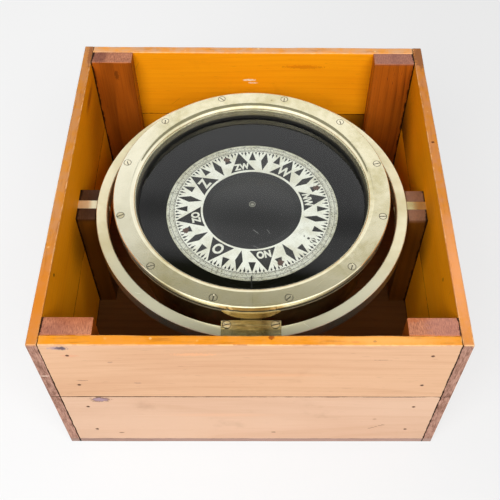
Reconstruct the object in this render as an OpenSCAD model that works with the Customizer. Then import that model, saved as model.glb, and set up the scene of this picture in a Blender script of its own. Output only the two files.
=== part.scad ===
// Boxed marine compass: a liquid bowl that swings in a gimbal ring, inside an open wooden box.
// Millimetres, +Z up. The origin is the centre of the box's underside and the front is at -Y.
// The bowl turns about Y in the ring, the ring turns about X in the box, and the card turns
// about Z on its pivot.

/* [Box] */
// Outer width and depth of the square box
box_w = 390; // [390:1:420]
// Thickness of the wall boards
wall_t = 10; // [8:0.5:12]
// Thickness of the floor boards
floor_t = 8; // [6:0.5:12]
// Height of the rim above the surface that the box stands on
box_h = 217; // [212:1:240]
// Height of the seam between the lower and upper boards of the front and sides
seam_z = 113; // [90:1:130]
// Height of the seam in the back wall
back_seam_z = 119; // [90:1:130]
// Worn chamfer along the boards' long edges
board_ease = 0.8; // [0.4:0.1:1.5]

/* [Corner blocks and posts] */
// Width of a corner block along the front or back wall
block_w = 46; // [30:1:50]
// Depth of a corner block
block_d = 18; // [14:1:20]
// Thickness of a gimbal post, out from the side wall
post_t = 20; // [16:0.5:20]
// Width of a gimbal post along the side wall
post_w = 40; // [34:1:60]
// Height of the posts' tops, level with the brass bearings
post_top_z = 167.5; // [167:0.5:168.5]
// Width of the slot in a post
slot_w = 11.2; // [10.8:0.1:14]
// Depth of the slot below the post's top
slot_depth = 24; // [18:1:40]

/* [Gimbals] */
// Height of both gimbal axes
pivot_z = 162; // [161:0.5:162.5]
// Outer radius of the gimbal ring
ring_r = 164; // [162:0.5:164.4]
// Radial width of the gimbal ring
ring_w = 11.5; // [9:0.5:12]
// Height of the gimbal ring's section
ring_h = 16; // [15:0.5:20]
// Height of the gimbal ring's top
ring_top_z = 172.5; // [171:0.5:173]
// Diameter of the four trunnions
trunnion_d = 7; // [6:0.5:7]
// Half length of a bowl bearing along the ring
bearing_half = 28.5; // [26:0.5:32]

/* [Bowl] */
// Outer radius of the bezel and of the bowl's rim
bezel_r = 143.25; // [141:0.25:143.5]
// Height of the bezel's flat top
bezel_top_z = 194.5; // [194:0.5:196]
// Thickness of the bezel's flat part
bezel_t = 7; // [6:0.5:7]
// How far the bezel's skirt reaches down to the gasket on the glass
bezel_skirt_h = 6.3; // [5.3:0.5:6.3]
// Radius of the bezel's opening
throat_r = 120.5; // [118:0.5:122]
// Radius of the polished nose round the opening
nose_r = 6; // [4:0.5:6]
// Number of screws in the bezel
bezel_screw_n = 12; // [8:1:16]
// Radius of the bezel's screw circle
bezel_screw_r = 137.2; // [136:0.1:138]
// Thickness of the top glass
glass_t = 6; // [4:0.5:6]
// Outer radius of the bowl's wall
bowl_r = 128; // [127:0.5:128]
// Thickness of the bowl's wall
bowl_t = 3; // [2:0.5:3]
// Height of the bowl's underside
bowl_bottom_z = 84; // [80:1:88]
// Outer radius of the rounded edge at the bowl's bottom
bowl_round = 25; // [20:1:28]

/* [Card] */
// Outer radius of the card
card_r = 91.7; // [88:0.1:94]
// Inner radius of the card, where the black float shows
card_hole_r = 53; // [52:0.5:54]
// Height of the card's printed face
card_z = 161; // [160:0.5:161]
// Direction of the card's north point, counted from +X towards +Y
card_heading = -33.5; // [-180:0.5:180]
// Radius that the points of the rose reach
point_r = 82; // [80:0.5:84]
// Radius of the base of the seven main points
point_base_r = 55.2; // [54:0.1:57]

/* [Hidden] */
$fn = 96;

// Clearances: a turning pin in its bearing, a screw or nail in its hole, a part let into another
turn_gap = 0.05;
hole_gap = 0.04;
seat_gap = 0.03;
// Overshoot of a cutting shape past the face that it cuts
over = 1;

// Half widths of the box inside and out
outer = box_w / 2;
inner = outer - wall_t;

// Nails: shank radius, head radius, head thickness and length
nail_r = 0.9;
nail_head_r = 1.6;
nail_head_t = 0.8;
nail_len = 26;
nail_levels = [34, 90, 139, 197.5];
side_nail_shift = -11;
floor_nail_len = 28;
floor_nail_at = [-150, -50, 50, 150];

// Countersunk screws: [head radius, shank radius, head height, length]
bezel_screw = [3.9, 2, 2.1, 12];
cap_screw = [3.75, 2, 2, 18.5];
bridge_screw = [3.6, 2, 1.9, 6.5];
ballast_screw = [4.4, 2.5, 2.2, 9];
post_screw = [4, 2.2, 2.2, 26];
cover_screw = [3.5, 2, 2, 8.6];
screw_rim_t = 0.3;
slot_cut_w = 1;
slot_cut_d = 1.1;
post_slot_turn = 25;
ballast_slot_turn = 60;
bridge_slot_turn = 70;
cap_slot_turn = [15, 65];

// Posts and bearings; the ring's trunnions stop short of its inner wall and of the side boards
slot_z = post_top_z - slot_depth;
bearing_side_gap = 0.3;
bearing_w = slot_w - 2 * bearing_side_gap;
trunnion_inset = 0.2;
trunnion_end_gap = 2.5;
post_screw_levels = [40, 90, 130];
trunnion_r = trunnion_d / 2;
ring_bottom_z = ring_top_z - ring_h;
ring_inner_r = ring_r - ring_w;
ring_ease = 0.8;
bearing_in = 145;
bearing_bore_end = 158.5;
bearing_low_z = pivot_z - 9;
cap_top_z = ring_top_z + 1.5;
cap_step_y = 153.5;
cap_step_d = 0.8;
cap_split = 0.04;
cap_screw_x = 23;
cap_screw_y = 149.6;
ring_trunnion_end = inner - trunnion_end_gap;
bowl_trunnion_end = 157.5;
bowl_trunnion_start = 129;

// Bowl: heights counted down from the bezel's top
bezel_gap = 0.6;
bezel_low_z = bezel_top_z - bezel_t;
flange_top_z = bezel_low_z - bezel_gap;
flange_t = 3;
flange_bottom_z = flange_top_z - flange_t;
glass_r = 130;
glass_seat_r = glass_r + 0.3;
skirt_low_z = bezel_low_z - bezel_skirt_h;
gasket_t = 2.8;
glass_top_z = skirt_low_z - gasket_t;
glass_low_z = glass_top_z - glass_t;
seat_ring_t = 1.2;
seat_z = glass_low_z - seat_ring_t;
collar_r = bowl_r + 5.5;
collar_low_z = seat_z - 3.2;
bowl_floor_t = 4;
bowl_floor_z = bowl_bottom_z + bowl_floor_t;
bowl_inner_r = bowl_r - bowl_t;
bowl_opening_r = 60;
gasket_lip = 2;
bezel_screw_turn = 15;
bezel_ease = 0.8;

// Trunnion brackets under the flange
bracket_face_r = 144;
bracket_arc_r = 42;
bracket_arc_drop = 10.5;
bracket_stem_r = 10;
bracket_depth = 26;

// Filler in the bowl's side
filler_turn = 60;
filler_z = 130;
filler_hole_r = 6;
filler_pad_r = 11;
filler_pad_out = bowl_r + 3;
filler_washer_t = 1;
filler_head_r = 9;
filler_head_t = 4;

// Bottom of the bowl: diaphragm, cover and ballast
diaphragm_t = 0.5;
diaphragm_top_z = bowl_bottom_z - 0.1;
cover_flange_r = 98;
cover_flange_t = 3;
cover_top_z = diaphragm_top_z - diaphragm_t - 0.05;
cover_r = 80;
cover_t = 2;
cover_bottom_z = cover_top_z - 21.4;
cover_round = 8;
cover_vent_r = 4;
cover_screw_n = 8;
cover_screw_ring = 90;
wave_r = 76;
wave_n = 6;
wave_d = 3;
ballast_in_r = 25;
ballast_out_r = 66;
ballast_t = 10;
ballast_ring = 45;
ballast_screw_n = 3;
ballast_screw_turn = 30;

// Pivot
bridge_l = 150;
bridge_w = 16;
bridge_t = 4;
bridge_screw_x = 68;
stem_r = 3;
stem_top_z = card_z - 7;
stem_collar_r = 7;
stem_collar_t = 2;
pin_r = 1;
pin_low_z = stem_top_z - 6;
pin_tip_z = card_z + 5.2;
pin_cone = 3;
pin_tip_r = 0.05;

// Card and float
card_t = 0.8;
card_low_z = card_z - card_t;
float_r = 46;
float_rim_r = 60;
float_low_rim_r = 50;
float_skin = 1;
dome_h = 8;
keel_h = 14;
rim_low_z = card_low_z - float_skin;
tunnel_r = 5;
tunnel_skin = 1;
tunnel_low_z = rim_low_z - keel_h - 3.2;
cap_low_z = card_z + 2;
cap_body_r = 3.4;
cap_flange_r = 6;
cap_flange_t = 2;
cap_over_dome = 1.2;
cap_dimple_r = 2;
cap_dimple_d = 1;
jewel_r = 2.45;
jewel_low_z = cap_low_z + 1;
jewel_t = 3;
jewel_cup_r = 1.6;
jewel_cup_tip_r = 0.1;
jewel_cup_z = pin_tip_z + 0.1;
ink_t = 0.15;
main_point_half = 14.1;
diamond_half = 3.35;
diamond_mid_r = 69;
small_point_half = 3.15;
small_base_r = 69.5;
diamond_gap = 0.6;
magnet_r = 3.5;
magnet_l = 100;
magnet_x = 26;
magnet_z = card_z - 22;
magnet_sleeve_r = 5;
carrier_w = 18;
carrier_t = 2;
carrier_end = 6;

// Lubber pointer
lubber_tip_y = 88;
lubber_z = card_z + 2;
lubber_w = 1.2;
lubber_h = 1.5;
lubber_foot_w = 12;
lubber_foot_h = 10;
lubber_foot_t = 1.5;

pine = [0.86, 0.56, 0.26];
pale_pine = [0.93, 0.76, 0.58];
mahogany = [0.42, 0.22, 0.13];
brass = [0.85, 0.77, 0.52];
black_paint = [0.08, 0.08, 0.09];
steel = [0.55, 0.55, 0.57];
lead = [0.38, 0.39, 0.42];
rubber = [0.05, 0.05, 0.05];
card_white = [0.93, 0.93, 0.88];
ink = [0.1, 0.1, 0.1];

// Building blocks

// A board that lies along X, its outer face at y = 0, with eased long edges
module board(length, low, high, thick = wall_t) {
    e = board_ease;
    rotate([90, 0, 90])
        linear_extrude(length, center = true)
            polygon([
                [0, low + e], [e, low], [thick - e, low], [thick, low + e],
                [thick, high - e], [thick - e, high], [e, high], [0, high - e]
            ]);
}

// A nail along -Z with its head at z = 0; grow widens it into the hole that holds it
module nail(length, grow = 0) {
    translate([0, 0, -nail_head_t - grow])
        cylinder(h = nail_head_t + grow, r = nail_head_r + grow, $fn = 24);
    translate([0, 0, -length - grow])
        cylinder(h = length - nail_head_t, r = nail_r + grow, $fn = 24);
}

// The round body of a countersunk screw along -Z with its head at z = 0
module screw_shape(size, grow = 0) {
    rotate_extrude($fn = 48)
        polygon([
            [0, 0], [size[0] + grow, 0], [size[0] + grow, -screw_rim_t - grow],
            [size[1] + grow, -size[2] - grow], [size[1] + grow, -size[3] - grow],
            [0, -size[3] - grow]
        ]);
}

// A slotted screw, its slot turned by the given angle
module screw(size, turn = 0) {
    difference() {
        screw_shape(size);
        rotate([0, 0, turn])
            translate([0, 0, -slot_cut_d / 2 + over / 2])
                cube([2 * size[0] + over, slot_cut_w, slot_cut_d + over], center = true);
    }
}

// The slots of a row of screws end up at different angles
function slot_turn(i) = (37 * i * i + 20 * i) % 180;

// Places its children at the front and side nails, which run into the corner blocks
module wall_nail_places() {
    block_x = inner - block_w / 2;
    block_y = inner - block_d / 2;
    for (side = [-1, 1], face = [-1, 1], z = nail_levels) {
        translate([side * block_x, face * outer, z])
            rotate([face * -90, 0, 0]) children();
        translate([side * outer, face * block_y, z + side_nail_shift])
            rotate([0, side * 90, 0]) children();
    }
}

// Places its children at the nails that hold the floor to the walls
module floor_nail_places() {
    middle = outer - wall_t / 2;
    for (side = [-1, 1], at = floor_nail_at) {
        translate([at, side * middle, 0])
            rotate([180, 0, 0]) children();
        translate([side * middle, at, 0])
            rotate([180, 0, 0]) children();
    }
}

// Places its children at the screws through the side walls into the posts
module post_screw_places() {
    for (side = [-1, 1], z = post_screw_levels)
        translate([side * outer, 0, z])
            rotate([0, side * 90, 0]) children();
}

// Everything that is driven into the box's boards and blocks
module box_holes() {
    wall_nail_places() nail(nail_len, hole_gap);
    floor_nail_places() nail(floor_nail_len, hole_gap);
    post_screw_places() screw_shape(post_screw, hole_gap);
}

// Box

module floor_board(face) {
    color(pine)
        difference() {
            translate([0, face * outer / 2, floor_t / 2])
                cube([box_w, outer, floor_t], center = true);
            box_holes();
        }
}

module front_board(low, high) {
    color(pale_pine)
        difference() {
            translate([0, -outer, 0]) board(2 * inner, low, high);
            box_holes();
        }
}

module back_board(low, high) {
    color(pine)
        difference() {
            translate([0, outer, 0])
                rotate([0, 0, 180]) board(2 * inner, low, high);
            box_holes();
        }
}

module side_board(side, low, high) {
    color(pine)
        difference() {
            rotate([0, 0, side * 90])
                translate([0, -outer, 0]) board(box_w, low, high);
            box_holes();
        }
}

module corner_block(side, face) {
    color(mahogany)
        difference() {
            translate([side * (inner - block_w / 2), face * (inner - block_d / 2), (floor_t + box_h) / 2])
                cube([block_w, block_d, box_h - floor_t], center = true);
            box_holes();
        }
}

module gimbal_post(side) {
    color(mahogany)
        difference() {
            translate([side * (inner - post_t / 2), 0, (floor_t + post_top_z) / 2])
                cube([post_t, post_w, post_top_z - floor_t], center = true);
            translate([side * (inner - post_t / 2), 0, slot_z + (slot_depth + over) / 2])
                cube([post_t + 2 * over, slot_w, slot_depth + over], center = true);
            box_holes();
        }
}

module bearing_block(side) {
    color(brass)
        difference() {
            translate([side * (inner - post_t / 2), 0, slot_z + slot_depth / 2])
                cube([post_t, bearing_w, slot_depth], center = true);
            translate([side * (inner - post_t / 2), 0, pivot_z])
                rotate([0, 90, 0])
                    cylinder(h = post_t + 2 * over, r = trunnion_r + turn_gap, center = true);
        }
}

module wall_nails() {
    color(steel) wall_nail_places() nail(nail_len);
}

module floor_nails() {
    color(steel) floor_nail_places() nail(floor_nail_len);
}

module post_screws() {
    color(brass) post_screw_places() screw(post_screw, post_slot_turn);
}

// Gimbal ring

// Space above the axis where a bearing cap replaces the ring
module cap_space(face, grow = 0) {
    width = 2 * (bearing_half + grow);
    translate([-width / 2, face > 0 ? bearing_in : -ring_r - over, pivot_z])
        cube([width, ring_r + over - bearing_in, cap_top_z - pivot_z]);
}

module cap_screw_places(face) {
    for (side = [-1, 1])
        translate([side * cap_screw_x, face * cap_screw_y, cap_top_z]) children();
}

module bowl_bearing_bore(face) {
    translate([0, face * (bearing_in - over), pivot_z])
        rotate([face * -90, 0, 0])
            cylinder(h = bearing_bore_end - bearing_in + over, r = trunnion_r + turn_gap);
}

module gimbal_ring() {
    e = ring_ease;
    color(brass)
        difference() {
            union() {
                rotate_extrude($fn = 180)
                    polygon([
                        [ring_inner_r, ring_bottom_z + e], [ring_inner_r + e, ring_bottom_z],
                        [ring_r - e, ring_bottom_z], [ring_r, ring_bottom_z + e],
                        [ring_r, ring_top_z - e], [ring_r - e, ring_top_z],
                        [ring_inner_r + e, ring_top_z], [ring_inner_r, ring_top_z - e]
                    ]);
                for (face = [-1, 1])
                    intersection() {
                        translate([0, 0, bearing_low_z])
                            cylinder(h = pivot_z - bearing_low_z, r = ring_r, $fn = 180);
                        translate([-bearing_half, face > 0 ? bearing_in : -ring_r, bearing_low_z])
                            cube([2 * bearing_half, ring_r - bearing_in, pivot_z - bearing_low_z]);
                    }
            }
            for (face = [-1, 1]) {
                cap_space(face, hole_gap);
                bowl_bearing_bore(face);
                cap_screw_places(face) screw_shape(cap_screw, hole_gap);
            }
            translate([0, 0, pivot_z])
                rotate([0, 90, 0])
                    cylinder(h = box_w, r = trunnion_r + seat_gap, center = true);
        }
}

module ring_trunnion(side) {
    color(brass)
        translate([side * (ring_inner_r + trunnion_inset), 0, pivot_z])
            rotate([0, side * 90, 0])
                cylinder(h = ring_trunnion_end - ring_inner_r - trunnion_inset, r = trunnion_r);
}

module bearing_cap(face) {
    step_far = ring_r - cap_step_y + over;
    color(brass)
        difference() {
            intersection() {
                translate([0, 0, pivot_z + cap_split])
                    cylinder(h = cap_top_z - pivot_z - cap_split, r = ring_r, $fn = 180);
                cap_space(face);
            }
            bowl_bearing_bore(face);
            cap_screw_places(face) screw_shape(cap_screw, hole_gap);
            translate([0, face * (cap_step_y + step_far / 2), cap_top_z])
                cube([2 * bearing_half + over, step_far, 2 * cap_step_d], center = true);
        }
}

module bearing_cap_screws() {
    color(brass)
        for (face = [-1, 1])
            cap_screw_places(face) screw(cap_screw, cap_slot_turn[face > 0 ? 1 : 0]);
}

// Bowl

// One half of the section of a pan with a rounded bottom edge
module pan_section(r, bottom, top, round_r) {
    translate([0, bottom + round_r]) square([r, top - bottom - round_r]);
    translate([0, bottom]) square([r - round_r, round_r + over]);
    translate([r - round_r, bottom + round_r]) circle(round_r, $fn = 96);
}

module filler_place() {
    rotate([0, 0, filler_turn])
        translate([0, 0, filler_z])
            rotate([0, 90, 0]) children();
}

module bezel_screw_places() {
    for (i = [0 : bezel_screw_n - 1])
        rotate([0, 0, bezel_screw_turn + i * 360 / bezel_screw_n])
            translate([bezel_screw_r, 0, bezel_top_z])
                rotate([0, 0, slot_turn(i)]) children();
}

module cover_screw_places() {
    for (i = [0 : cover_screw_n - 1])
        rotate([0, 0, i * 360 / cover_screw_n])
            translate([cover_screw_ring, 0, cover_top_z - cover_flange_t])
                rotate([180, 0, 0]) children();
}

module bridge_screw_places() {
    for (side = [-1, 1])
        translate([side * bridge_screw_x, 0, bowl_floor_z + bridge_t]) children();
}

module bowl_body() {
    color(brass)
        difference() {
            union() {
                rotate_extrude($fn = 180)
                    pan_section(bowl_r, bowl_bottom_z, seat_z, bowl_round);
                filler_place()
                    cylinder(h = filler_pad_out, r = filler_pad_r, $fn = 48);
            }
            rotate_extrude($fn = 180) {
                pan_section(bowl_inner_r, bowl_floor_z, seat_z + over, bowl_round - bowl_t);
                translate([0, bowl_bottom_z - over]) square([bowl_opening_r, bowl_floor_t + 2 * over]);
            }
            filler_place()
                cylinder(h = box_w, r = filler_hole_r + hole_gap, $fn = 48);
            cover_screw_places() cover_screw_shape(hole_gap);
            bridge_screw_places() screw_shape(bridge_screw, hole_gap);
        }
}

// The rim round the bowl's wall, which holds the glass and takes the bezel's screws
module bowl_rim() {
    wall_r = bowl_r + seat_gap;
    color(brass)
        difference() {
            rotate_extrude($fn = 180)
                polygon([
                    [wall_r, collar_low_z], [collar_r, collar_low_z],
                    [collar_r, flange_bottom_z], [bezel_r, flange_bottom_z],
                    [bezel_r, flange_top_z], [glass_seat_r, flange_top_z],
                    [glass_seat_r, seat_z], [wall_r, seat_z]
                ]);
            bezel_screw_places() screw_shape(bezel_screw, hole_gap);
        }
}

// Outline of a bracket seen from the front: a rounded web that narrows to the pin
module bracket_outline() {
    intersection() {
        translate([0, flange_bottom_z - bracket_arc_drop + bracket_arc_r]) circle(bracket_arc_r);
        translate([-bracket_arc_r, pivot_z])
            square([2 * bracket_arc_r, flange_bottom_z - seat_gap - pivot_z]);
    }
    translate([-bracket_stem_r, pivot_z])
        square([2 * bracket_stem_r, flange_bottom_z - seat_gap - pivot_z]);
    translate([0, pivot_z]) circle(bracket_stem_r);
}

module trunnion_bracket(face) {
    color(brass)
        rotate([0, 0, face > 0 ? 180 : 0])
            difference() {
                intersection() {
                    translate([0, 0, bowl_bottom_z])
                        cylinder(h = bezel_top_z - bowl_bottom_z, r = bracket_face_r, $fn = 180);
                    translate([0, bracket_depth - bracket_face_r - over, 0])
                        rotate([90, 0, 0]) linear_extrude(bracket_depth) bracket_outline();
                }
                cylinder(h = bezel_top_z, r = bowl_r + seat_gap, $fn = 180);
                translate([0, 0, collar_low_z - seat_gap])
                    cylinder(h = bezel_top_z, r = collar_r + seat_gap, $fn = 180);
                translate([0, 0, pivot_z])
                    rotate([90, 0, 0]) cylinder(h = box_w, r = trunnion_r + seat_gap);
            }
}

module bowl_trunnion(face) {
    color(brass)
        translate([0, face * bowl_trunnion_start, pivot_z])
            rotate([face * -90, 0, 0])
                cylinder(h = bowl_trunnion_end - bowl_trunnion_start, r = trunnion_r);
}

// A flat ring with a round nose at its opening, and below that the skirt that presses on the gasket
module bezel_ring() {
    e = bezel_ease;
    color(brass)
        difference() {
            rotate_extrude($fn = 180) {
                difference() {
                    union() {
                        polygon([
                            [throat_r + nose_r, bezel_low_z], [bezel_r, bezel_low_z],
                            [bezel_r, bezel_top_z - e], [bezel_r - e, bezel_top_z],
                            [throat_r + nose_r, bezel_top_z]
                        ]);
                        translate([throat_r + nose_r, bezel_top_z - nose_r])
                            circle(nose_r, $fn = 96);
                    }
                    translate([0, bezel_low_z - 2 * nose_r]) square([bezel_r, 2 * nose_r]);
                }
                translate([throat_r, skirt_low_z])
                    square([glass_r - throat_r, bezel_top_z - nose_r - skirt_low_z]);
            }
            bezel_screw_places() screw_shape(bezel_screw, hole_gap);
        }
}

module bezel_screws() {
    color(brass) bezel_screw_places() screw(bezel_screw);
}

// A flat washer-like ring
module flat_ring(inside, outside, low, thick) {
    translate([0, 0, low])
        difference() {
            cylinder(h = thick, r = outside, $fn = 180);
            translate([0, 0, -over]) cylinder(h = thick + 2 * over, r = inside, $fn = 180);
        }
}

module bezel_gasket() {
    color(rubber)
        flat_ring(throat_r - gasket_lip, glass_r, glass_top_z, gasket_t);
}

module glass_gasket() {
    color(rubber)
        flat_ring(bowl_inner_r - gasket_lip, glass_r, seat_z, seat_ring_t);
}

module top_glass() {
    color([0.7, 0.8, 0.8, 0.3])
        translate([0, 0, glass_low_z])
            cylinder(h = glass_t, r = glass_r, $fn = 180);
}

module lubber_pointer() {
    foot_low = lubber_z - lubber_foot_h + lubber_h;
    color(black_paint)
        intersection() {
            union() {
                translate([-lubber_w / 2, -bowl_r, lubber_z])
                    cube([lubber_w, bowl_r - lubber_tip_y, lubber_h]);
                translate([-lubber_foot_w / 2, -bowl_r, foot_low])
                    cube([lubber_foot_w, bowl_t + lubber_foot_t, lubber_foot_h]);
            }
            cylinder(h = bezel_top_z, r = bowl_inner_r - seat_gap, $fn = 180);
        }
}

module filler_plug() {
    seat = filler_pad_out + filler_washer_t + seat_gap;
    color(brass)
        filler_place()
            difference() {
                union() {
                    translate([0, 0, bowl_inner_r])
                        cylinder(h = seat - bowl_inner_r + over, r = filler_hole_r, $fn = 48);
                    translate([0, 0, seat])
                        cylinder(h = filler_head_t, r = filler_head_r, $fn = 6);
                }
                translate([0, 0, seat + filler_head_t])
                    cube([2 * filler_head_r + over, 2 * slot_cut_w, 2 * slot_cut_d], center = true);
            }
}

module filler_washer() {
    color(lead)
        filler_place()
            flat_ring(filler_hole_r + hole_gap, filler_head_r + 1, filler_pad_out, filler_washer_t);
}

// Bottom of the bowl

module cover_screw_shape(grow = 0) {
    translate([0, 0, -cover_screw[3] - grow])
        cylinder(h = cover_screw[3] + grow, r = cover_screw[1] + grow, $fn = 48);
}

module expansion_diaphragm() {
    steps = 48;
    step_r = wave_r / steps;
    color(brass)
        difference() {
            rotate_extrude($fn = 180)
                polygon(concat(
                    [[cover_flange_r, diaphragm_top_z - diaphragm_t], [cover_flange_r, diaphragm_top_z]],
                    [for (i = [steps : -1 : 0]) [i * step_r, diaphragm_top_z - wave(i * step_r)]],
                    [for (i = [0 : steps]) [i * step_r, diaphragm_top_z - diaphragm_t - wave(i * step_r)]]
                ));
            cover_screw_places() cover_screw_shape(hole_gap);
        }
}

// Depth of the diaphragm's corrugation at radius r
function wave(r) = wave_d * (1 - cos(360 * wave_n * r / wave_r)) / 2;

module ballast_screw_places() {
    for (i = [0 : ballast_screw_n - 1])
        rotate([0, 0, ballast_screw_turn + i * 360 / ballast_screw_n])
            translate([ballast_ring, 0, cover_bottom_z])
                rotate([180, 0, 0]) children();
}

// The flat ring that is screwed under the bowl and has the cover soldered into it
module cover_flange() {
    color(brass)
        difference() {
            flat_ring(cover_r + seat_gap, cover_flange_r, cover_top_z - cover_flange_t, cover_flange_t);
            cover_screw_places() cover_screw_shape(hole_gap);
        }
}

module bottom_cover() {
    color(brass)
        difference() {
            rotate_extrude($fn = 180)
                pan_section(cover_r, cover_bottom_z, cover_top_z, cover_round);
            rotate_extrude($fn = 180)
                pan_section(cover_r - cover_t, cover_bottom_z + cover_t, cover_top_z + over,
                    cover_round - cover_t);
            translate([0, 0, cover_bottom_z - over]) cylinder(h = cover_t + 2 * over, r = cover_vent_r);
            ballast_screw_places() screw_shape(ballast_screw, hole_gap);
        }
}

module cover_screws() {
    head_t = cover_screw[2];
    color(brass)
        for (i = [0 : cover_screw_n - 1])
            rotate([0, 0, i * 360 / cover_screw_n])
                translate([cover_screw_ring, 0, cover_top_z - cover_flange_t - seat_gap])
                    rotate([180, 0, slot_turn(i)])
                        difference() {
                            union() {
                                cylinder(h = head_t, r = cover_screw[0], $fn = 48);
                                cover_screw_shape(-seat_gap);
                            }
                            translate([0, 0, head_t])
                                cube([2 * cover_screw[0] + over, slot_cut_w, slot_cut_d], center = true);
                        }
}

module ballast_ring() {
    low = cover_bottom_z + cover_t + seat_gap;
    color(lead)
        difference() {
            flat_ring(ballast_in_r, ballast_out_r, low, ballast_t);
            ballast_screw_places() screw_shape(ballast_screw, hole_gap);
        }
}

module ballast_screws() {
    color(brass) ballast_screw_places() screw(ballast_screw, ballast_slot_turn);
}

// Pivot

module pivot_bridge() {
    color(brass)
        difference() {
            translate([-bridge_l / 2, -bridge_w / 2, bowl_floor_z])
                cube([bridge_l, bridge_w, bridge_t]);
            translate([0, 0, bowl_floor_z - over])
                cylinder(h = bridge_t + 2 * over, r = stem_r + seat_gap);
            bridge_screw_places() screw_shape(bridge_screw, hole_gap);
        }
}

module bridge_screws() {
    color(brass) bridge_screw_places() screw(bridge_screw, bridge_slot_turn);
}

module pivot_stem() {
    color(brass)
        difference() {
            union() {
                translate([0, 0, bowl_floor_z])
                    cylinder(h = stem_top_z - bowl_floor_z, r = stem_r, $fn = 48);
                translate([0, 0, bowl_floor_z + bridge_t + seat_gap])
                    cylinder(h = stem_collar_t, r = stem_collar_r, $fn = 48);
            }
            translate([0, 0, pin_low_z - seat_gap])
                cylinder(h = stem_top_z - pin_low_z + over, r = pin_r + seat_gap, $fn = 48);
        }
}

module pivot_pin() {
    color(steel) {
        translate([0, 0, pin_low_z])
            cylinder(h = pin_tip_z - pin_cone - pin_low_z, r = pin_r, $fn = 48);
        translate([0, 0, pin_tip_z - pin_cone])
            cylinder(h = pin_cone, r1 = pin_r, r2 = pin_tip_r, $fn = 48);
    }
}

// Card and float

// A thin spherical cap over a circle of radius base, rising by height from z = 0
module cap_shell(base, height, skin) {
    ball = (base * base + height * height) / (2 * height);
    rotate_extrude($fn = 180)
        intersection() {
            translate([0, height - ball])
                difference() {
                    circle(ball, $fn = 360);
                    circle(ball - skin, $fn = 360);
                }
            square([base, height + over]);
        }
}

module card_disc() {
    color(card_white)
        flat_ring(card_hole_r, card_r, card_low_z, card_t);
}

// A point of the compass rose: its corners are [radius, angle from the point's bearing]
module rose_point(corners) {
    linear_extrude(ink_t)
        polygon([for (c = corners) [c[0] * cos(c[1]), c[0] * sin(c[1])]]);
}

// Seven main points, as north has a bare place for its ornament, then eight diamonds between
// them and sixteen small points between those
module card_points() {
    base_steps = 6;
    base_arc = [for (i = [0 : base_steps])
        [point_base_r, main_point_half * (2 * i / base_steps - 1)]];
    color(ink)
        translate([0, 0, card_z])
            rotate([0, 0, card_heading]) {
                for (i = [0 : 7])
                    rotate([0, 0, 45 * i]) {
                        if (i > 0) rose_point(concat(base_arc, [[point_r, 0]]));
                        rotate([0, 0, 22.5])
                            rose_point([
                                [point_base_r + diamond_gap, 0], [diamond_mid_r, -diamond_half],
                                [point_r, 0], [diamond_mid_r, diamond_half]
                            ]);
                    }
                for (i = [0 : 15])
                    rotate([0, 0, 11.25 + 22.5 * i])
                        rose_point([
                            [small_base_r, -small_point_half], [point_r, 0],
                            [small_base_r, small_point_half]
                        ]);
            }
}

module float_upper_shell() {
    color(black_paint)
        difference() {
            union() {
                translate([0, 0, card_low_z]) cap_shell(float_r, dome_h, float_skin);
                flat_ring(float_r - 2 * float_skin, float_rim_r, rim_low_z, float_skin);
            }
            translate([0, 0, card_z])
                cylinder(h = 2 * dome_h, r = cap_body_r + seat_gap, $fn = 48);
        }
}

module float_lower_shell() {
    color(black_paint)
        difference() {
            union() {
                translate([0, 0, rim_low_z - seat_gap - float_skin])
                    mirror([0, 0, 1]) cap_shell(float_r, keel_h - float_skin, float_skin);
                flat_ring(float_r - 2 * float_skin, float_low_rim_r,
                    rim_low_z - seat_gap - float_skin, float_skin);
            }
            translate([0, 0, tunnel_low_z])
                cylinder(h = keel_h, r = tunnel_r + tunnel_skin + seat_gap, $fn = 48);
        }
}

module float_tunnel() {
    color(black_paint)
        flat_ring(tunnel_r, tunnel_r + tunnel_skin, tunnel_low_z,
            cap_low_z - seat_gap - tunnel_low_z);
}

module card_cap() {
    top = card_low_z + dome_h + cap_over_dome;
    color(brass)
        difference() {
            union() {
                translate([0, 0, cap_low_z])
                    cylinder(h = top - cap_low_z, r = cap_body_r, $fn = 48);
                translate([0, 0, cap_low_z])
                    cylinder(h = cap_flange_t, r = cap_flange_r, $fn = 48);
            }
            translate([0, 0, cap_low_z - over])
                cylinder(h = jewel_low_z + jewel_t - cap_low_z + over, r = jewel_r + seat_gap, $fn = 48);
            translate([0, 0, top - cap_dimple_d])
                cylinder(h = cap_dimple_d + over, r = cap_dimple_r, $fn = 48);
        }
}

module cap_jewel() {
    color([0.6, 0.1, 0.2])
        difference() {
            translate([0, 0, jewel_low_z])
                cylinder(h = jewel_t - seat_gap, r = jewel_r, $fn = 48);
            translate([0, 0, jewel_low_z])
                cylinder(h = jewel_cup_z - jewel_low_z, r1 = jewel_cup_r,
                    r2 = jewel_cup_tip_r, $fn = 48);
        }
}

module magnet_places() {
    rotate([0, 0, card_heading])
        for (side = [-1, 1])
            translate([0, side * magnet_x, magnet_z])
                rotate([0, 90, 0]) children();
}

module magnet_carrier() {
    bar_l = 2 * (magnet_x + carrier_end);
    bar_low_z = magnet_z + magnet_sleeve_r - 1;
    color(brass)
        difference() {
            union() {
                rotate([0, 0, card_heading])
                    translate([-carrier_w / 2, -bar_l / 2, bar_low_z])
                        cube([carrier_w, bar_l, carrier_t]);
                magnet_places()
                    cylinder(h = carrier_w, r = magnet_sleeve_r, center = true, $fn = 48);
            }
            magnet_places()
                cylinder(h = carrier_w + 2 * over, r = magnet_r + seat_gap, center = true, $fn = 48);
            translate([0, 0, bar_low_z - over])
                cylinder(h = carrier_t + 2 * over, r = tunnel_r + tunnel_skin + seat_gap, $fn = 48);
        }
}

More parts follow.
